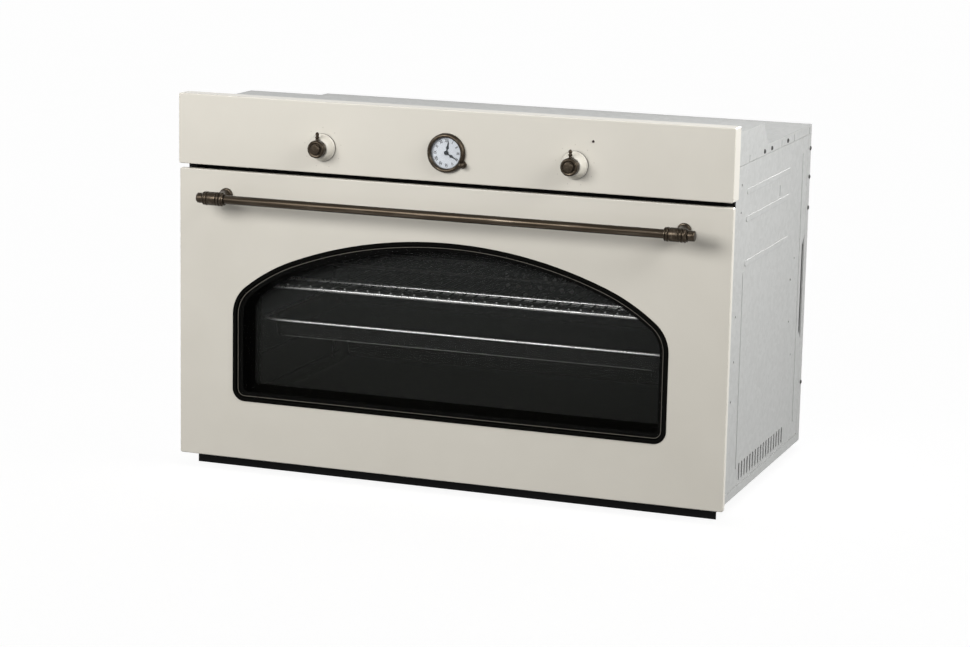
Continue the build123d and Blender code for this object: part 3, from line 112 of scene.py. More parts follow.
def span(tree, value, low, high, start=0.0, end=1.0):
    """Value carried from start..end to low..high."""
    node = tree.nodes.new("ShaderNodeMapRange")
    node.inputs["From Min"].default_value = start
    node.inputs["From Max"].default_value = end
    node.inputs["To Min"].default_value = low
    node.inputs["To Max"].default_value = high
    tree.links.new(value, node.inputs["Value"])
    return node.outputs["Result"]


def bump(tree, shader, height, strength, distance):
    """Bump from a height value."""
    node = tree.nodes.new("ShaderNodeBump")
    node.inputs["Strength"].default_value = strength
    node.inputs["Distance"].default_value = distance
    tree.links.new(height, node.inputs["Height"])
    tree.links.new(node.outputs["Normal"], shader.inputs["Normal"])


def enamel_cream():
    """Glossy cream enamel with faint clouds and a fine orange peel."""
    made, tree, shader, where = new_material("cream_enamel", (0.7, 0.67, 0.59), 0.3)
    cloud = noise(tree, where, 9.0, 3.0)
    darker, lighter = (0.655, 0.622, 0.548), (0.685, 0.652, 0.577)
    tree.links.new(ramp(tree, cloud, [(0.3, darker), (0.7, lighter)]), shader.inputs["Base Color"])
    grain = noise(tree, where, 700.0, 2.0)
    tree.links.new(span(tree, grain, 0.3, 0.38), shader.inputs["Roughness"])
    bump(tree, shader, grain, 0.12, 0.00004)
    shader.inputs["Coat Weight"].default_value = 0.25
    shader.inputs["Coat Roughness"].default_value = 0.12
    return made


def aged_bronze(name, stretch, relief):
    """Dark bronze with worn light streaks, drawn out by a stretch."""
    made, tree, shader, where = new_material(name, (0.06, 0.05, 0.035), 0.3, 1.0)
    streaks = noise(tree, where, 260.0, 5.0, stretch, 0.65)
    dark, brown, worn = (0.02, 0.015, 0.01), (0.046, 0.036, 0.026), (0.13, 0.108, 0.084)
    colour = ramp(tree, streaks, [(0.25, dark), (0.55, brown), (0.8, worn)])
    tree.links.new(colour, shader.inputs["Base Color"])
    tree.links.new(span(tree, streaks, 0.26, 0.34), shader.inputs["Roughness"])
    bump(tree, shader, streaks, relief, 0.00005)
    return made


def zinc_sheet():
    """Zinc-coated sheet with spangle, faint drawing lines and soft waves."""
    made, tree, shader, where = new_material("zinc_sheet", (0.46, 0.46, 0.45), 0.5, 0.0, 0.15)
    spangle = cells(tree, where, 150.0)
    darker, lighter = (0.43, 0.434, 0.423), (0.49, 0.494, 0.483)
    grey = ramp(tree, spangle.outputs["Color"], [(0.0, darker), (1.0, lighter)])
    tree.links.new(grey, shader.inputs["Base Color"])
    drawn = noise(tree, where, 120.0, 4.0, (1, 1, 0.06))
    tree.links.new(span(tree, drawn, 0.43, 0.48), shader.inputs["Roughness"])
    bump(tree, shader, noise(tree, where, 14.0, 2.0), 0.12, 0.002)
    return made


def flecked_enamel(name, colour, fleck, roughness, gloss):
    """Dark enamel with small paler flecks."""
    made, tree, shader, where = new_material(name, colour, roughness, 0.0, gloss)
    specks = cells(tree, where, 900.0)
    tint = ramp(tree, specks.outputs["Distance"], [(0.1, fleck), (0.2, colour)])
    tree.links.new(tint, shader.inputs["Base Color"])
    wave = noise(tree, where, 90.0, 2.0)
    tree.links.new(span(tree, wave, roughness * 0.8, roughness * 1.2), shader.inputs["Roughness"])
    bump(tree, shader, wave, 0.08, 0.0003)
    return made


def plain(name, colour, roughness, metallic=0.0, scale=300.0, spread=0.15, relief=0.1, gloss=0.5):
    """One colour that a fine grain makes a little darker and lighter, rougher and smoother."""
    made, tree, shader, where = new_material(name, colour, roughness, metallic, gloss)
    grain = noise(tree, where, scale, 4.0)
    low = tuple(part * (1 - spread) for part in colour)
    high = tuple(min(part * (1 + spread), 1.0) for part in colour)
    tree.links.new(ramp(tree, grain, [(0.3, low), (0.7, high)]), shader.inputs["Base Color"])
    finish = span(tree, grain, roughness * 0.85, min(roughness * 1.15, 1.0))
    tree.links.new(finish, shader.inputs["Roughness"])
    bump(tree, shader, grain, relief, 0.0001)
    return made


def pane(name, colour, alpha, gloss):
    """Clear glass that holds back a share of the light at each face."""
    made = plain(name, colour, 0.03, 0.0, 40.0, 0.1, 0.01, gloss)
    made.node_tree.nodes["Principled BSDF"].inputs["Alpha"].default_value = alpha
    return made


def painted_light_pane(name, low, high, alpha, gloss):
    """Pane with painted light: its haze is made lighter from the sill of the window to its crown."""
    made, tree, shader, where = new_material(name, low, 0.05, 0.0, gloss)
    split = tree.nodes.new("ShaderNodeSeparateXYZ")
    tree.links.new(where, split.inputs["Vector"])
    # Painted light: the haze grows brighter with height in the window.
    rise = span(tree, split.outputs["Z"], 0.0, 1.0, 0.12, 0.4)
    cloud = noise(tree, where, 7.0, 3.0, (0.5, 1, 2))
    painted_light_level = tree.nodes.new("ShaderNodeMath")
    painted_light_level.operation = "MULTIPLY_ADD"
    tree.links.new(cloud, painted_light_level.inputs[0])
    painted_light_level.inputs[1].default_value = 0.3
    tree.links.new(rise, painted_light_level.inputs[2])
    haze = ramp(tree, painted_light_level.outputs["Value"], [(0.1, low), (1.0, high)])
    tree.links.new(haze, shader.inputs["Base Color"])
    shader.inputs["Alpha"].default_value = alpha
    return made


cream = enamel_cream()
bronze = aged_bronze("aged_bronze", (1, 1, 1), 0.04)
bronze_bar = aged_bronze("brushed_bronze", (0.05, 1, 1), 0.2)
zinc = zinc_sheet()
black = flecked_enamel("black_enamel", (0.003, 0.003, 0.003), (0.006, 0.006, 0.006), 0.45, 0.1)
cavity = flecked_enamel("cavity_enamel", (0.008, 0.0085, 0.0075), (0.024, 0.024, 0.022), 0.4, 0.1)
tray_enamel = flecked_enamel("tray_enamel", (0.006, 0.006, 0.0055), (0.018, 0.018, 0.017), 0.3, 0.1)
rubber = plain("black_rubber", (0.003, 0.003, 0.0025), 0.7, scale=900.0, gloss=0.02)
print_black = plain("printed_black", (0.002, 0.002, 0.0015), 0.2, scale=120.0, relief=0.01, gloss=0.05)
print_line = plain("printed_line", (0.13, 0.12, 0.1), 0.4, scale=500.0, relief=0.02, gloss=0.2)
strip_black = plain("strip_black", (0.003, 0.003, 0.003), 0.6, scale=400.0, gloss=0.1)
outer_pane = pane("outer_pane", (0.004, 0.004, 0.004), 0.08, 0.05)
# The inner pane's haze is painted light, lighter towards the crown of the window.
inner_pane_painted_light = painted_light_pane("inner_pane_painted_light", (0.034, 0.036, 0.03), (0.092, 0.097, 0.093), 0.2, 0.13)
lens_glass = pane("lens_glass", (0.3, 0.31, 0.3), 0.25, 0.5)
chrome = plain("chromed_wire", (0.11, 0.11, 0.105), 0.35, 0.5, 500.0, 0.06, 0.05, 0.2)
# Bright finish on the front rods of the shelf and on the tray rim: painted light, as the same wire
# elsewhere is duller.
painted_light_rod = plain("painted_light_rod", (0.92, 0.92, 0.9), 0.28, 0.85, 500.0, 0.04, 0.03)
# Near-black finish on the side racks and the shelf wires: painted shade over chromed wire.
painted_shade_rack = plain("painted_shade_rack", (0.006, 0.006, 0.0055), 0.5, 0.0, 500.0, 0.1, 0.05, 0.05)
screw_finish = plain("blackened_screw", (0.05, 0.05, 0.047), 0.5, 0.2, 500.0, 0.15, 0.05, 0.3)
steel = plain("plain_steel", (0.5, 0.5, 0.49), 0.34, 1.0, 350.0, 0.12, 0.1)
aluminium = plain("aluminium_fan", (0.62, 0.62, 0.61), 0.38, 1.0, 350.0, 0.1, 0.1)
heated = plain("heated_steel", (0.04, 0.037, 0.034), 0.5, 0.3, 250.0, 0.3, 0.15, 0.2)
plastic = plain("black_plastic", (0.012, 0.012, 0.012), 0.5, scale=1200.0, gloss=0.3)
ceramic = plain("white_ceramic", (0.72, 0.71, 0.67), 0.5, scale=200.0)
wool = plain("mineral_wool", (0.38, 0.33, 0.2), 0.95, scale=160.0, spread=0.3, relief=0.6)
lens = plain("indicator_lens", (0.02, 0.006, 0.004), 0.15, scale=400.0, relief=0.02)
dial_white = (0.76, 0.79, 0.83)
dial_paint = plain("dial_paint", dial_white, 0.4, scale=600.0, spread=0.03, relief=0.03, gloss=0.2)
ink = plain("printed_ink", (0.008, 0.01, 0.011), 0.6, scale=900.0, relief=0.02, gloss=0.05)
faint_ink = plain("faint_ink", (0.5, 0.47, 0.41), 0.4, scale=900.0, relief=0.02)
watch_glass = pane("watch_glass", (0.6, 0.65, 0.72), 0.04, 0.5)

slot_materials = {
    "cream_enamel": cream,
    "bronze": bronze,
    "zinc_sheet": zinc,
    "black_enamel": black,
    "cavity_enamel": cavity,
    "rubber_black": rubber,
    "tinted_glass": outer_pane,
    "clear_glass": lens_glass,
    "lens_red": lens,
    "dial_white": dial_paint,
    "hand_black": ink,
    "black_plastic": plastic,
    "chromed_wire": chrome,
    "element_steel": heated,
    "plain_steel": steel,
    "aluminium_fan": aluminium,
    "white_ceramic": ceramic,
    "mineral_wool": wool,
}
for part in frame["record"]["subparts"]:
    node = frame["nodes"][part["node"]]
    finish = slot_materials[part["material_slot"]]
    if not node.material_slots:
        node.data.materials.append(finish)
    for entry in node.material_slots:
        entry.material = finish
own_materials = {
    "handle_bar": bronze_bar,
    "inner_glass": inner_pane_painted_light,
    "baking_tray": tray_enamel,
    "bottom_trim": strip_black,
    # The side racks carry the painted shade finish.
    "left_side_rack": painted_shade_rack,
    "right_side_rack": painted_shade_rack,
}
for name, finish in own_materials.items():
    for entry in frame["nodes"][name].material_slots:
        entry.material = finish

# Shape helpers; sizes are in millimetres, depths are behind the panel face


def place(x, depth, z):
    """Point in metres from X, depth and Z in millimetres."""
    return Vector((x * MM, behind(depth), z * MM))


def softened(outline, cut, steps=4):
    """Open outline with its inner corners rounded."""
    points = [Vector(point) for point in outline]
    made = [points[0]]
    for before, corner, after in zip(points, points[1:], points[2:]):
        reach = min(cut, (corner - before).length * 0.45, (after - corner).length * 0.45)
        start = corner + (before - corner).normalized() * reach
        end = corner + (after - corner).normalized() * reach
        for step in range(steps + 1):
            t = step / steps
            made.append(start * (1 - t) ** 2 + corner * 2 * t * (1 - t) + end * t**2)
    return made + [points[-1]]


SHARP_EDGE = math.radians(35.0)


def piece(name, shape, finish, body):
    """Object from a bmesh that rides on a body, smooth but for its sharp edges."""
    bmesh.ops.remove_doubles(shape, verts=shape.verts, dist=1e-7)
    bmesh.ops.recalc_face_normals(shape, faces=shape.faces)
    mesh = bpy.data.meshes.new(name)
    shape.to_mesh(mesh)
    shape.free()
    mesh.shade_smooth()
    mesh.set_sharp_from_angle(angle=SHARP_EDGE)
    mesh.materials.append(finish)
    made = bpy.data.objects.new(name, mesh)
    bpy.context.collection.objects.link(made)
    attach(made, body)
    return made


def lathe(shape, outline, centre, along, steps):
    """Turned surface: each point of the outline is a radius and a distance along the axis."""
    along = Vector(along).normalized()
    side = along.orthogonal().normalized()
    other = along.cross(side)
    rings = []
    for radius, distance in outline:
        base = centre + along * distance * MM
        if radius < 1e-6:
            rings.append([shape.verts.new(base)])
            continue
        ring = []
        for step in range(steps):
            a = math.tau * step / steps
            ring.append(shape.verts.new(base + (side * math.cos(a) + other * math.sin(a)) * radius * MM))
        rings.append(ring)
    for first, second in zip(rings, rings[1:]):
        for step in range(steps):
            corners = []
            for ring, index in ((first, step), (first, step + 1), (second, step + 1), (second, step)):
                corner = ring[index % len(ring)]
                if corner not in corners:
                    corners.append(corner)
            if len(corners) > 2:
                shape.faces.new(corners)


def tube(shape, points, radius, steps=12):
    """Round tube through points in metres, closed at both ends."""
    rings = []
    for index, point in enumerate(points):
        ahead = points[min(index + 1, len(points) - 1)] - points[max(index - 1, 0)]
        ahead.normalize()
        if rings:
            side = (side - ahead * side.dot(ahead)).normalized()
        else:
            side = ahead.orthogonal().normalized()
        other = ahead.cross(side)
        ring = []
        for step in range(steps):
            a = math.tau * step / steps
            ring.append(shape.verts.new(point + (side * math.cos(a) + other * math.sin(a)) * radius * MM))
        rings.append(ring)
    for first, second in zip(rings, rings[1:]):
        for step in range(steps):
            following = (step + 1) % steps
            shape.faces.new((first[step], first[following], second[following], second[step]))
    shape.faces.new(rings[0])
    shape.faces.new(rings[-1])


def band(shape, outer, inner, front, back):
    """Flat band between two closed outlines of X and Z, from one depth to another."""
    loops = []
    for outline, depth in ((outer, front), (inner, front), (inner, back), (outer, back)):
        loops.append([shape.verts.new(place(x, depth, z)) for x, z in outline])
    for first, second in zip(loops, loops[1:] + loops[:1]):
        for index in range(len(first)):
            following = (index + 1) % len(first)
            shape.faces.new((first[index], first[following], second[following], second[index]))


def slab(shape, outline, front, back):
    """Flat plate with a closed outline of X and Z, from one depth to another."""
    loops = [[shape.verts.new(place(x, depth, z)) for x, z in outline] for depth in (front, back)]
    for index in range(len(outline)):
        following = (index + 1) % len(outline)
        shape.faces.new((loops[0][index], loops[0][following], loops[1][following], loops[1][index]))
    shape.faces.new(loops[0])
    shape.faces.new(loops[1])


# Handle: bar, two equal brackets and end finials
# A turned outline gives a radius and a distance along its axis for each point

HANDLE_Z = 440.0
HANDLE_DEPTH = -44.0
BAR_LEFT, BAR_RIGHT = -382.5, 393.0
BAR_RADIUS = 6.9
CASTING = 35.0
POST_FROM_LEFT = 15.5

shape = bmesh.new()
bar = [(0, BAR_LEFT), (BAR_RADIUS, BAR_LEFT), (BAR_RADIUS, BAR_RIGHT), (0, BAR_RIGHT)]
lathe(shape, softened(bar, 0.4), place(0, HANDLE_DEPTH, HANDLE_Z), (1, 0, 0), 96)
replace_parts(piece("handle_rod", shape, bronze_bar, "door"), "handle_bar")

shape = bmesh.new()
turned_rings = [
    (7.0, 0), (9.7, 0), (10.4, 0.7), (10.4, 2.0), (9.2, 2.7), (9.2, 3.3), (10.8, 4.0), (10.8, 6.2),
    (9.2, 7.0), (9.2, 7.9), (10.5, 8.6), (10.5, 22.2), (9.1, 22.9), (9.1, 23.9), (10.8, 24.7),
    (10.8, 27.1), (9.0, 27.9), (9.0, 28.8), (10.8, 29.6), (10.8, 32.0), (9.3, 32.8), (9.3, CASTING),
    (7.0, CASTING),
]
post = [
    (0, -38), (7.2, -38), (7.4, -30), (6.8, -22), (6.8, -12), (8.0, -6), (8.2, -4.6), (10.4, -4),
    (10.8, -1.4), (10.6, 0), (0, 0),
]
for left in (BAR_LEFT, BAR_RIGHT - CASTING):
    lathe(shape, softened(turned_rings, 0.35, 3), place(left, HANDLE_DEPTH, HANDLE_Z), (1, 0, 0), 72)
    root = place(left + POST_FROM_LEFT, DOOR_DEPTH, HANDLE_Z)
    lathe(shape, softened(post, 1.2, 4), root, (0, 1, 0), 64)
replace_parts(piece("handle_castings", shape, bronze, "door"), "handle_brackets")

shape = bmesh.new()
finial = [(0, 0), (7.2, 0), (7.2, 0.9), (7.9, 1.5), (7.9, 9.8), (7.0, 10.8), (6.4, 11), (0, 11)]
for start, out in ((BAR_LEFT, -1), (BAR_RIGHT, 1)):
    lathe(shape, softened(finial, 0.6, 4), place(start, HANDLE_DEPTH, HANDLE_Z), (out, 0, 0), 64)
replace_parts(piece("handle_caps", shape, bronze, "door"), "handle_finials")

# Knobs: a cream skirt and a bronze cap with a beaded pointer

KNOB_X = 203.0
KNOB_Z = 525.0
POINTER_REACH = 21.4
skirt = [
    (3.2, 0.7), (21.0, 0.7), (21.2, 1.4), (21.2, 3.2), (20.4, 3.8), (19.5, 4.2), (18.9, 6.4),
    (17.8, 10.0), (16.4, 14.2), (15.6, 15.7), (14.9, 17.4), (14.2, 17.6), (3.2, 17.6),
]
seat = [(20.4, 0.6), (21.5, 0.7), (21.5, 2.0), (21.2, 2.3), (20.4, 2.3)]
cap = [
    (0, 17.6), (12.4, 17.6), (13.4, 18.4), (13.6, 19.6), (12.7, 20.6), (12.7, 21.2), (13.6, 22.2),
    (13.6, 26.8), (13.0, 28.4), (11.4, 29.5), (9.4, 29.1), (8.4, 28.4), (7.7, 28.6), (7.7, 31.6),
    (6.9, 32.5), (0, 32.6),
]
pointer = [
    (0, 10.0), (2.8, 10.0), (2.8, 14.4), (2.3, 15.2), (2.3, 15.9), (3.3, 17.0), (3.3, 18.4),
    (2.3, 19.5), (2.1, 20.3), (2.9, 21.4), (3.0, 22.8), (2.3, 24.4), (1.2, 25.6), (0, 26.0),
]
for side, word in ((-1, "left"), (1, "right")):
    x = side * KNOB_X
    body = f"{word}_knob"
    shape = bmesh.new()
    lathe(shape, softened(skirt, 0.7, 4), place(x, 0, KNOB_Z), (0, -1, 0), 96)
    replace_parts(piece(f"{body}_collar", shape, cream, body), f"{body}_skirt")
    shape = bmesh.new()
    lathe(shape, softened(seat, 0.2, 3), place(x, 0, KNOB_Z), (0, -1, 0), 96)
    piece(f"{body}_seat", shape, bronze, body)
    shape = bmesh.new()
    lathe(shape, softened(cap, 0.6, 4), place(x, 0, KNOB_Z), (0, -1, 0), 96)
    lathe(shape, softened(pointer, 0.3, 3), place(x, -POINTER_REACH, KNOB_Z), (0, 0, 1), 24)
    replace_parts(piece(f"{body}_button", shape, bronze, body), f"{body}_cap")

# Generic marks printed round the knobs

MARK_ORBIT = 30.5
MARK_RADIUS = 0.8
MARK_STEP = 40
MARK_FRONT, MARK_BACK = -0.03, 0.02
MARK_CORNERS = [math.tau * step / 16 for step in range(16)]
shape = bmesh.new()
for knob in (-KNOB_X, KNOB_X):
    for angle in range(0, 360, MARK_STEP):
        a = math.radians(angle)
        x, z = knob + MARK_ORBIT * math.sin(a), KNOB_Z + MARK_ORBIT * math.cos(a)
        dot = [(x + MARK_RADIUS * math.cos(t), z + MARK_RADIUS * math.sin(t)) for t in MARK_CORNERS]
        slab(shape, dot, MARK_FRONT, MARK_BACK)
piece("knob_marks", shape, faint_ink, "casing")

# Clock: dial, figures, hands, bezel with its lug, setting knob and glass

CLOCK_Z = 530.0
SETTER_X, SETTER_Z = 26.43, CLOCK_Z - 16.2
FIGURE_ORBIT = 18.2
FIGURE_HEIGHT = 6.2
FIGURE_DEPTH = -0.86
MINUTES_OUT = 23.0


def upright_text(words, size, x, z, turn_by, depth):
    """Mesh of a short word, centred on a point of the dial and turned clockwise."""
    curve = bpy.data.curves.new("figure", "FONT")
    curve.body = words
    curve.size = size * MM
    curve.align_x = "CENTER"
    curve.align_y = "CENTER"
    curve.extrude = 0.02 * MM
    curve.offset = 0.16 * MM
    holder = bpy.data.objects.new("figure", curve)
    mesh = bpy.data.meshes.new_from_object(holder)
    facing = Matrix.Rotation(math.radians(90), 4, "X")
    spin = Matrix.Rotation(math.radians(turn_by), 4, "Y")
    squeeze = Matrix.Diagonal((0.78, 1.0, 1.0, 1.0))
    mesh.transform(Matrix.Translation(place(x, depth, z)) @ spin @ facing @ squeeze)
    bpy.data.objects.remove(holder)
    return mesh


def on_dial(outline, a):
    """Outline drawn upright from the middle of the dial, turned clockwise by an angle."""
    return [
        (u * math.cos(a) + v * math.sin(a), CLOCK_Z - u * math.sin(a) + v * math.cos(a))
        for u, v in outline
    ]


shape = bmesh.new()
dial = [(0, 0.85), (8, 0.84), (16, 0.8), (21, 0.72), (25.4, 0.6), (25.4, 0), (0, 0)]
lathe(shape, dial, place(0, 0, CLOCK_Z), (0, -1, 0), 96)
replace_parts(piece("clock_face", shape, dial_paint, "casing"), "clock_dial")

shape = bmesh.new()
figures = ("XII", "I", "II", "III", "IV", "V", "VI", "VII", "VIII", "IX", "X", "XI")
for hour, words in enumerate(figures):
    angle = 30 * hour
    a = math.radians(angle)
    x, z = FIGURE_ORBIT * math.sin(a), CLOCK_Z + FIGURE_ORBIT * math.cos(a)
    shape.from_mesh(upright_text(words, FIGURE_HEIGHT, x, z, angle, FIGURE_DEPTH))
for minute in range(60):
    wide, low = (0.32, 21.4) if minute % 5 == 0 else (0.14, 21.9)
    mark = [(-wide, low), (-wide, MINUTES_OUT), (wide, MINUTES_OUT), (wide, low)]
    slab(shape, on_dial(mark, math.radians(6 * minute)), -0.84, -0.6)
arbor = [(0, 3.9), (0.8, 3.9), (1.0, 3.6), (1.0, 0.7)]
lathe(shape, softened(arbor, 0.15), place(0, 0, CLOCK_Z), (0, -1, 0), 24)
piece("clock_figures", shape, ink, "casing")


def hand(name, length, turn_by, depth, node):
    """Spade hand with a round hub."""
    hub, sheet = 3.4, 0.45
    half = [
        (0.9, 3.3), (0.9, length * 0.3), (1.6, length * 0.35), (2.3, length * 0.42),
        (2.0, length * 0.49), (1.2, length * 0.57), (0.8, length * 0.78), (0.25, length),
    ]
    turns = [math.radians(degrees) for degrees in range(0, 164, 12)]
    right_side = [(hub * math.sin(t), -hub * math.cos(t)) for t in turns] + half
    outline = right_side + [(-u, v) for u, v in reversed(right_side[1:])]
    shape = bmesh.new()
    slab(shape, on_dial(outline, math.radians(turn_by)), depth - sheet, depth)
    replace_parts(piece(name, shape, ink, node), node)


hand("hour_pointer", 18.0, 10.0, -1.3, "hour_hand")
hand("minute_pointer", 20.0, 120.0, -2.3, "minute_hand")

shape = bmesh.new()
bezel = [
    (25.6, 0), (30, 0), (30, 2.6), (29.4, 3.4), (29.9, 4.4), (29.3, 6.2), (28.0, 7.6), (26.4, 8.0),
    (25.0, 7.5), (24.3, 6.6), (24.2, 5.6), (23.6, 5.2), (23.6, 0.9), (25.6, 0.8),
]
lathe(shape, softened(bezel, 0.6, 4), place(0, 0, CLOCK_Z), (0, -1, 0), 128)
lug = [(1.6, 0), (6.0, 0), (6.0, 2.6), (5.2, 3.6), (1.6, 3.6)]
lathe(shape, softened(lug, 0.5), place(SETTER_X, 0, SETTER_Z), (0, -1, 0), 40)
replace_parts(piece("clock_ring", shape, bronze, "casing"), "clock_bezel")

shape = bmesh.new()
setter = [
    (0, 4.0), (3.2, 4.0), (4.3, 4.6), (4.5, 5.6), (4.2, 6.8), (3.1, 7.6), (2.7, 8.2), (3.2, 8.8),
    (4.2, 9.6), (4.5, 11.2), (4.4, 12.6), (3.4, 14.0), (1.8, 14.8), (0, 15.0),
]
lathe(shape, softened(setter, 0.4, 3), place(SETTER_X, 0, SETTER_Z), (0, -1, 0), 40)
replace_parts(piece("clock_setter", shape, bronze, "setting_knob"), "setting_knob")

shape = bmesh.new()
crystal = [(0, 6.3), (8, 6.25), (16, 6.05), (21, 5.8), (24.2, 5.4), (24.2, 4.4), (0, 4.4)]
lathe(shape, crystal, place(0, 0, CLOCK_Z), (0, -1, 0), 96)
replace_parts(piece("clock_crystal", shape, watch_glass, "casing"), "clock_glass")

# Window: outline, printed borders and the thin bronze line


def arch(inset, corner=None):
    """Closed outline of the window, drawn in by an inset."""
    half, top, bottom = 355.7, 391.7, 113.5
    radii = (695.0, 296.0, 57.4)  # crown, haunch and shoulder of one side
    corner = max(20.0 - inset, 3.0) if corner is None else corner
    first = math.radians(21.5)
    reach = (half - (radii[0] - radii[1]) * math.sin(first) - radii[2]) / (radii[1] - radii[2])
    turns = (0.0, first, math.asin(reach), math.pi / 2)
    centre = Vector((0.0, top - radii[0]))
    run = []
    for index, (radius, start, end) in enumerate(zip(radii, turns, turns[1:])):
        if index:
            centre += (radii[index - 1] - radius) * Vector((math.sin(start), math.cos(start)))
        steps = (36, 20, 20)[index]
        for step in range(steps):
            a = start + (end - start) * step / steps
            run.append(centre + (radius - inset) * Vector((math.sin(a), math.cos(a))))
    run.append(Vector((half - inset, centre.y)))
    foot = Vector((half - inset - corner, bottom + inset + corner))
    for step in range(9):
        a = math.radians(90 * step / 8)
        run.append(foot + corner * Vector((math.cos(a), -math.sin(a))))
    return [tuple(p) for p in run] + [(-p.x, p.y) for p in reversed(run[1:])]


# Behind the outer pane, on its face and on the inner pane: outlines, depths and finish
prints = (
    ("window_border", arch(0.5), arch(15.0, 9.0), 9.22, 9.34, print_black),
    ("window_line", arch(8.1), arch(9.0), 5.06, 5.19, print_line),
    ("inner_border", arch(-13.0, 20.0), arch(22.0, 5.0), 40.86, 40.98, print_black),
)
for name, outer, inner, front, back, finish in prints:
    shape = bmesh.new()
    band(shape, outer, inner, front, back)
    piece(name, shape, finish, "door")

# Wire shelf: front rods with small nibs in a bright finish that is painted light, a duller rear, and
# wires in a near-black finish that is painted shade

SHELF_Z = 288.8
SHELF_HALF, SHELF_FRONT, SHELF_BACK, SHELF_BEND = 340.0, 72.0, 408.0, 14.0
FRONT_BAR, REAR_BAR = 146.0, 294.0
FRAME_ROD, CROSS_ROD, NIB, WIRE = 3.0, 2.7, 1.3, 1.4
NIB_TOP = SHELF_Z + 5.1
WIRE_Z = SHELF_Z - 1.6
WIRE_PITCH = 19.5
wires = [(number - 16) * WIRE_PITCH for number in range(33)]


def looped(half, front, back, bend, z):
    """Closed path of a flat frame with rounded corners, as points in metres."""
    path = []
    corners = (
        (half - bend, front + bend, -90), (half - bend, back - bend, 0),
        (bend - half, back - bend, 90), (bend - half, front + bend, 180),
    )
    for x, depth, start in corners:
        for step in range(9):
            a = math.radians(start + 90 * step / 8)
            path.append(place(x + bend * math.cos(a), depth + bend * math.sin(a), z))
    return path


def crossbar(shape, half, depth, z, radius, steps=12):
    """Straight rod from side to side."""
    tube(shape, [place(-half, depth, z), place(half, depth, z)], radius, steps)


outline = looped(SHELF_HALF, SHELF_FRONT, SHELF_BACK, SHELF_BEND, SHELF_Z)
shape = bmesh.new()
tube(shape, outline[27:] + outline[:9], FRAME_ROD, 16)
crossbar(shape, SHELF_HALF, FRONT_BAR, SHELF_Z, CROSS_ROD)
for x in wires:
    tube(shape, [place(x, SHELF_FRONT, SHELF_Z + 2), place(x, SHELF_FRONT + 0.4, NIB_TOP)], NIB, 10)
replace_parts(piece("shelf_front", shape, painted_light_rod, "wire_shelf"), "wire_shelf")
shape = bmesh.new()
tube(shape, outline[8:28], FRAME_ROD, 16)
crossbar(shape, SHELF_HALF, REAR_BAR, SHELF_Z, CROSS_ROD)
piece("shelf_rear", shape, chrome, "wire_shelf")
shape = bmesh.new()
for x in wires:
    tube(shape, [place(x, SHELF_FRONT + 1, WIRE_Z), place(x, SHELF_BACK, WIRE_Z)], WIRE, 8)
piece("shelf_wires", shape, painted_shade_rack, "wire_shelf")

# Rolled rim of the baking tray in the bright finish that is painted light, and a thin chrome tube along
# its foot as a painted highlight

RIM_HALF, RIM_FRONT, RIM_BACK, RIM_BEND, RIM_Z = 340.5, 74.5, 405.5, 26.0, 233.8
RIM_ROLL, FOLD_ROLL = 2.5, 0.8
FOLD_HALF, FOLD_DEPTH, FOLD_Z = 305.0, 89.9, 206.4
shape = bmesh.new()
outline = looped(RIM_HALF, RIM_FRONT, RIM_BACK, RIM_BEND, RIM_Z)
tube(shape, outline + outline[:2], RIM_ROLL, 16)
piece("tray_rim", shape, painted_light_rod, "baking_tray")
shape = bmesh.new()
# Thin chrome tube along the foot of the tray: a painted highlight line on the fold.
crossbar(shape, FOLD_HALF, FOLD_DEPTH, FOLD_Z, FOLD_ROLL, 8)
piece("painted_fold_highlight", shape, chrome, "baking_tray")

# Casing screws on both sides and on the back, pan heads with a round recess

SIDE_FACE = 430.0
BACK_FACE = 538.0
REAR_ROW, TOP_ROW, BACK_ROW = 533, 532, 410
side_screws = [(REAR_ROW, rise) for rise in (112, 404, 455, 502)]
side_screws += [(depth, TOP_ROW) for depth in (280, 380, 237)]
screw = [(0, 1.15), (1.2, 1.2), (1.6, 1.95), (2.6, 1.7), (3.3, 1.1), (3.6, 0.4), (3.6, 0)]
shape = bmesh.new()
for side in (-1, 1):
    for depth, rise in side_screws:
        lathe(shape, screw, place(side * SIDE_FACE, depth, rise), (side, 0, 0), 28)
    for rise in (60, 290, 500):
        lathe(shape, screw, place(side * BACK_ROW, BACK_FACE, rise), (0, 1, 0), 28)
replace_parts(piece("screw_heads", shape, screw_finish, "casing"), "casing_screws")

# Floor, light and camera


def seen_directly(tree):
    """One for rays from the camera, off metal and through glass, zero for light on the object."""
    path = tree.nodes.new("ShaderNodeLightPath")
    total = path.outputs["Is Camera Ray"]
    for kind in ("Is Glossy Ray", "Is Transmission Ray"):
        node = tree.nodes.new("ShaderNodeMath")
        node.operation = "MAXIMUM"
        tree.links.new(total, node.inputs[0])
        tree.links.new(path.outputs[kind], node.inputs[1])
        total = node.outputs["Value"]
    return total


def pale_stage():
    """Pale floor: bright and shadowed where it is seen, greyer in what it throws back."""
    made, tree, shader, where = new_material("pale_floor", (0.36, 0.36, 0.36), 0.9, 0.0, 0.0)
    haze = noise(tree, where, 3.0, 2.0)
    stops = [(0.3, (0.355, 0.355, 0.355)), (0.7, (0.365, 0.365, 0.365))]
    tree.links.new(ramp(tree, haze, stops), shader.inputs["Base Color"])
    shader.inputs["Emission Color"].default_value = (1.0, 1.0, 1.0, 1.0)
    shader.inputs["Emission Strength"].default_value = 0.912
    dull = tree.nodes.new("ShaderNodeBsdfDiffuse")
    dull.inputs["Color"].default_value = (0.2, 0.2, 0.2, 1.0)
    mix = tree.nodes.new("ShaderNodeMixShader")
    tree.links.new(seen_directly(tree), mix.inputs["Fac"])
    tree.links.new(dull.outputs["BSDF"], mix.inputs[1])
    tree.links.new(shader.outputs["BSDF"], mix.inputs[2])
    tree.links.new(mix.outputs["Shader"], tree.nodes["Material Output"].inputs["Surface"])
    return made


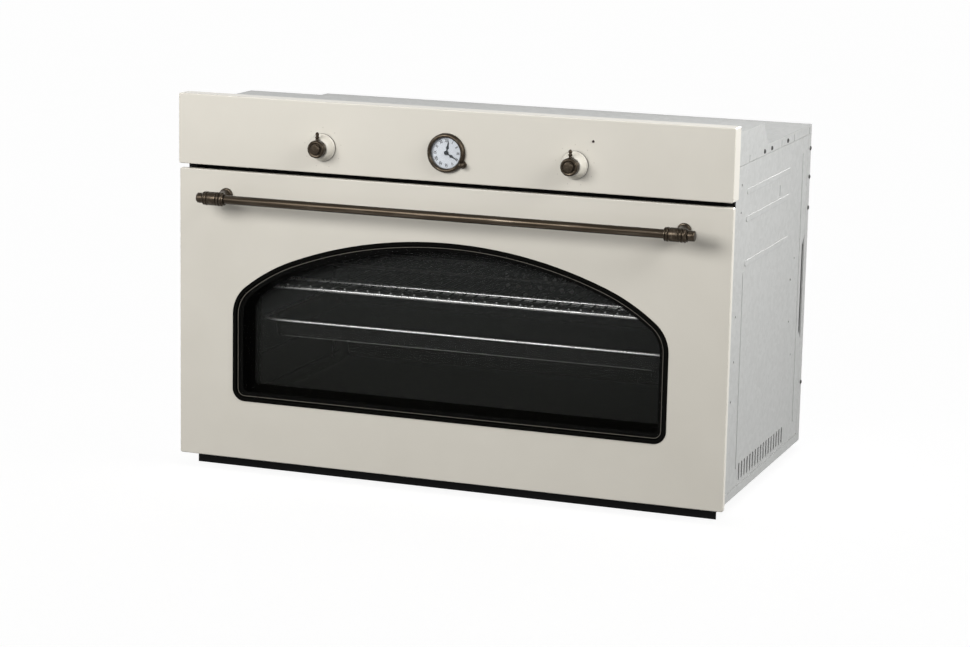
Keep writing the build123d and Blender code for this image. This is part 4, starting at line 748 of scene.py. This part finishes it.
def block(name, low, high, finish):
    """Box between two corners, used for the stage only."""
    mesh = bpy.data.meshes.new(name)
    shape = bmesh.new()
    bmesh.ops.create_cube(shape, size=1.0)
    for vertex in shape.verts:
        vertex.co = Vector((a + (b - a) * (c + 0.5) for a, b, c in zip(low, high, vertex.co)))
    shape.to_mesh(mesh)
    shape.free()
    made = bpy.data.objects.new(name, mesh)
    made.data.materials.append(finish)
    bpy.context.collection.objects.link(made)
    return made


floor = block("floor", (-30, -30, -0.02), (30, 30, 0.0), pale_stage())

# The world is white where it is seen, and lights the object less from above than from the sides
world = bpy.data.worlds.new("studio")
bpy.context.scene.world = world
world.use_nodes = True
world_tree = world.node_tree
background = world_tree.nodes["Background"]
background.inputs["Color"].default_value = (1.0, 1.0, 1.0, 1.0)
heading = world_tree.nodes.new("ShaderNodeSeparateXYZ")
toward = world_tree.nodes.new("ShaderNodeTexCoord").outputs["Generated"]
world_tree.links.new(toward, heading.inputs["Vector"])
fading = span(world_tree, heading.outputs["Z"], 0.35, 0.15, 0.25, 0.8)
world_tree.links.new(fading, background.inputs["Strength"])
white = world_tree.nodes.new("ShaderNodeBackground")
white.inputs["Color"].default_value = (1.0, 1.0, 1.0, 1.0)
white.inputs["Strength"].default_value = 0.985
chooser = world_tree.nodes.new("ShaderNodeMixShader")
world_tree.links.new(seen_directly(world_tree), chooser.inputs["Fac"])
world_tree.links.new(background.outputs["Background"], chooser.inputs[1])
world_tree.links.new(white.outputs["Background"], chooser.inputs[2])
world_tree.links.new(chooser.outputs["Shader"], world_tree.nodes["World Output"].inputs["Surface"])

# The lamps leave out what is in this collection
unlit = bpy.data.collections.new("unlit_stage")
unlit.objects.link(floor)
for entry in unlit.collection_objects:
    entry.light_linking.link_state = "EXCLUDE"


def softbox(name, spot, target, width, height, power):
    """Rectangular studio light that looks at a target and leaves the floor out."""
    lamp = bpy.data.lights.new(name, "AREA")
    lamp.shape = "RECTANGLE"
    lamp.size = width
    lamp.size_y = height
    lamp.energy = power
    made = bpy.data.objects.new(name, lamp)
    made.location = spot
    made.rotation_euler = (Vector(target) - Vector(spot)).to_track_quat("-Z", "Y").to_euler()
    bpy.context.collection.objects.link(made)
    made.light_linking.receiver_collection = unlit


# Each lamp has a place, a target, a width and height in metres, and a power
SIDE = SIDE_FACE * MM
softbox("key", (-0.68, -1.95, 1.15), (0.0, PANEL_FACE, 0.3), 1.1, 0.7, 30.2)
softbox("side_far", (2.6, -1.2, 2.2), (SIDE, 0.0, 0.35), 1.4, 1.1, 34.0)
softbox("side_near", (1.6, -0.3, 1.1), (SIDE, 0.0, 0.4), 0.8, 0.8, 16.4)
softbox("rear", (0.8, 3.0, 1.4), (0.0, 0.27, 0.3), 1.0, 1.0, 36.0)
softbox("left", (-2.5, 1.35, 1.5), (-SIDE, 0.0, 0.3), 1.2, 1.0, 28.0)

LENS = 103.29
SENSOR_WIDTH = 36.0
YAW, PITCH, ROLL = math.radians(20.12), math.radians(-11.22), math.radians(-1.15)
camera_spot = Vector((1.488, PANEL_FACE - 3.8795, PANEL_TOP + 0.4987))
turn = Matrix.Rotation(YAW, 3, "Z") @ Matrix.Rotation(PITCH, 3, "X") @ Matrix.Rotation(ROLL, 3, "Y")
right, forward, up = turn.col
basis = Matrix((right, up, -forward)).transposed()
camera_data = bpy.data.cameras.new("camera")
camera_data.sensor_width = SENSOR_WIDTH
camera_data.lens = LENS
camera_data.clip_end = 100.0
camera = bpy.data.objects.new("camera", camera_data)
bpy.context.collection.objects.link(camera)
camera.matrix_world = Matrix.Translation(camera_spot) @ basis.to_4x4()
bpy.context.scene.camera = camera
bpy.context.scene.view_settings.view_transform = "Standard"
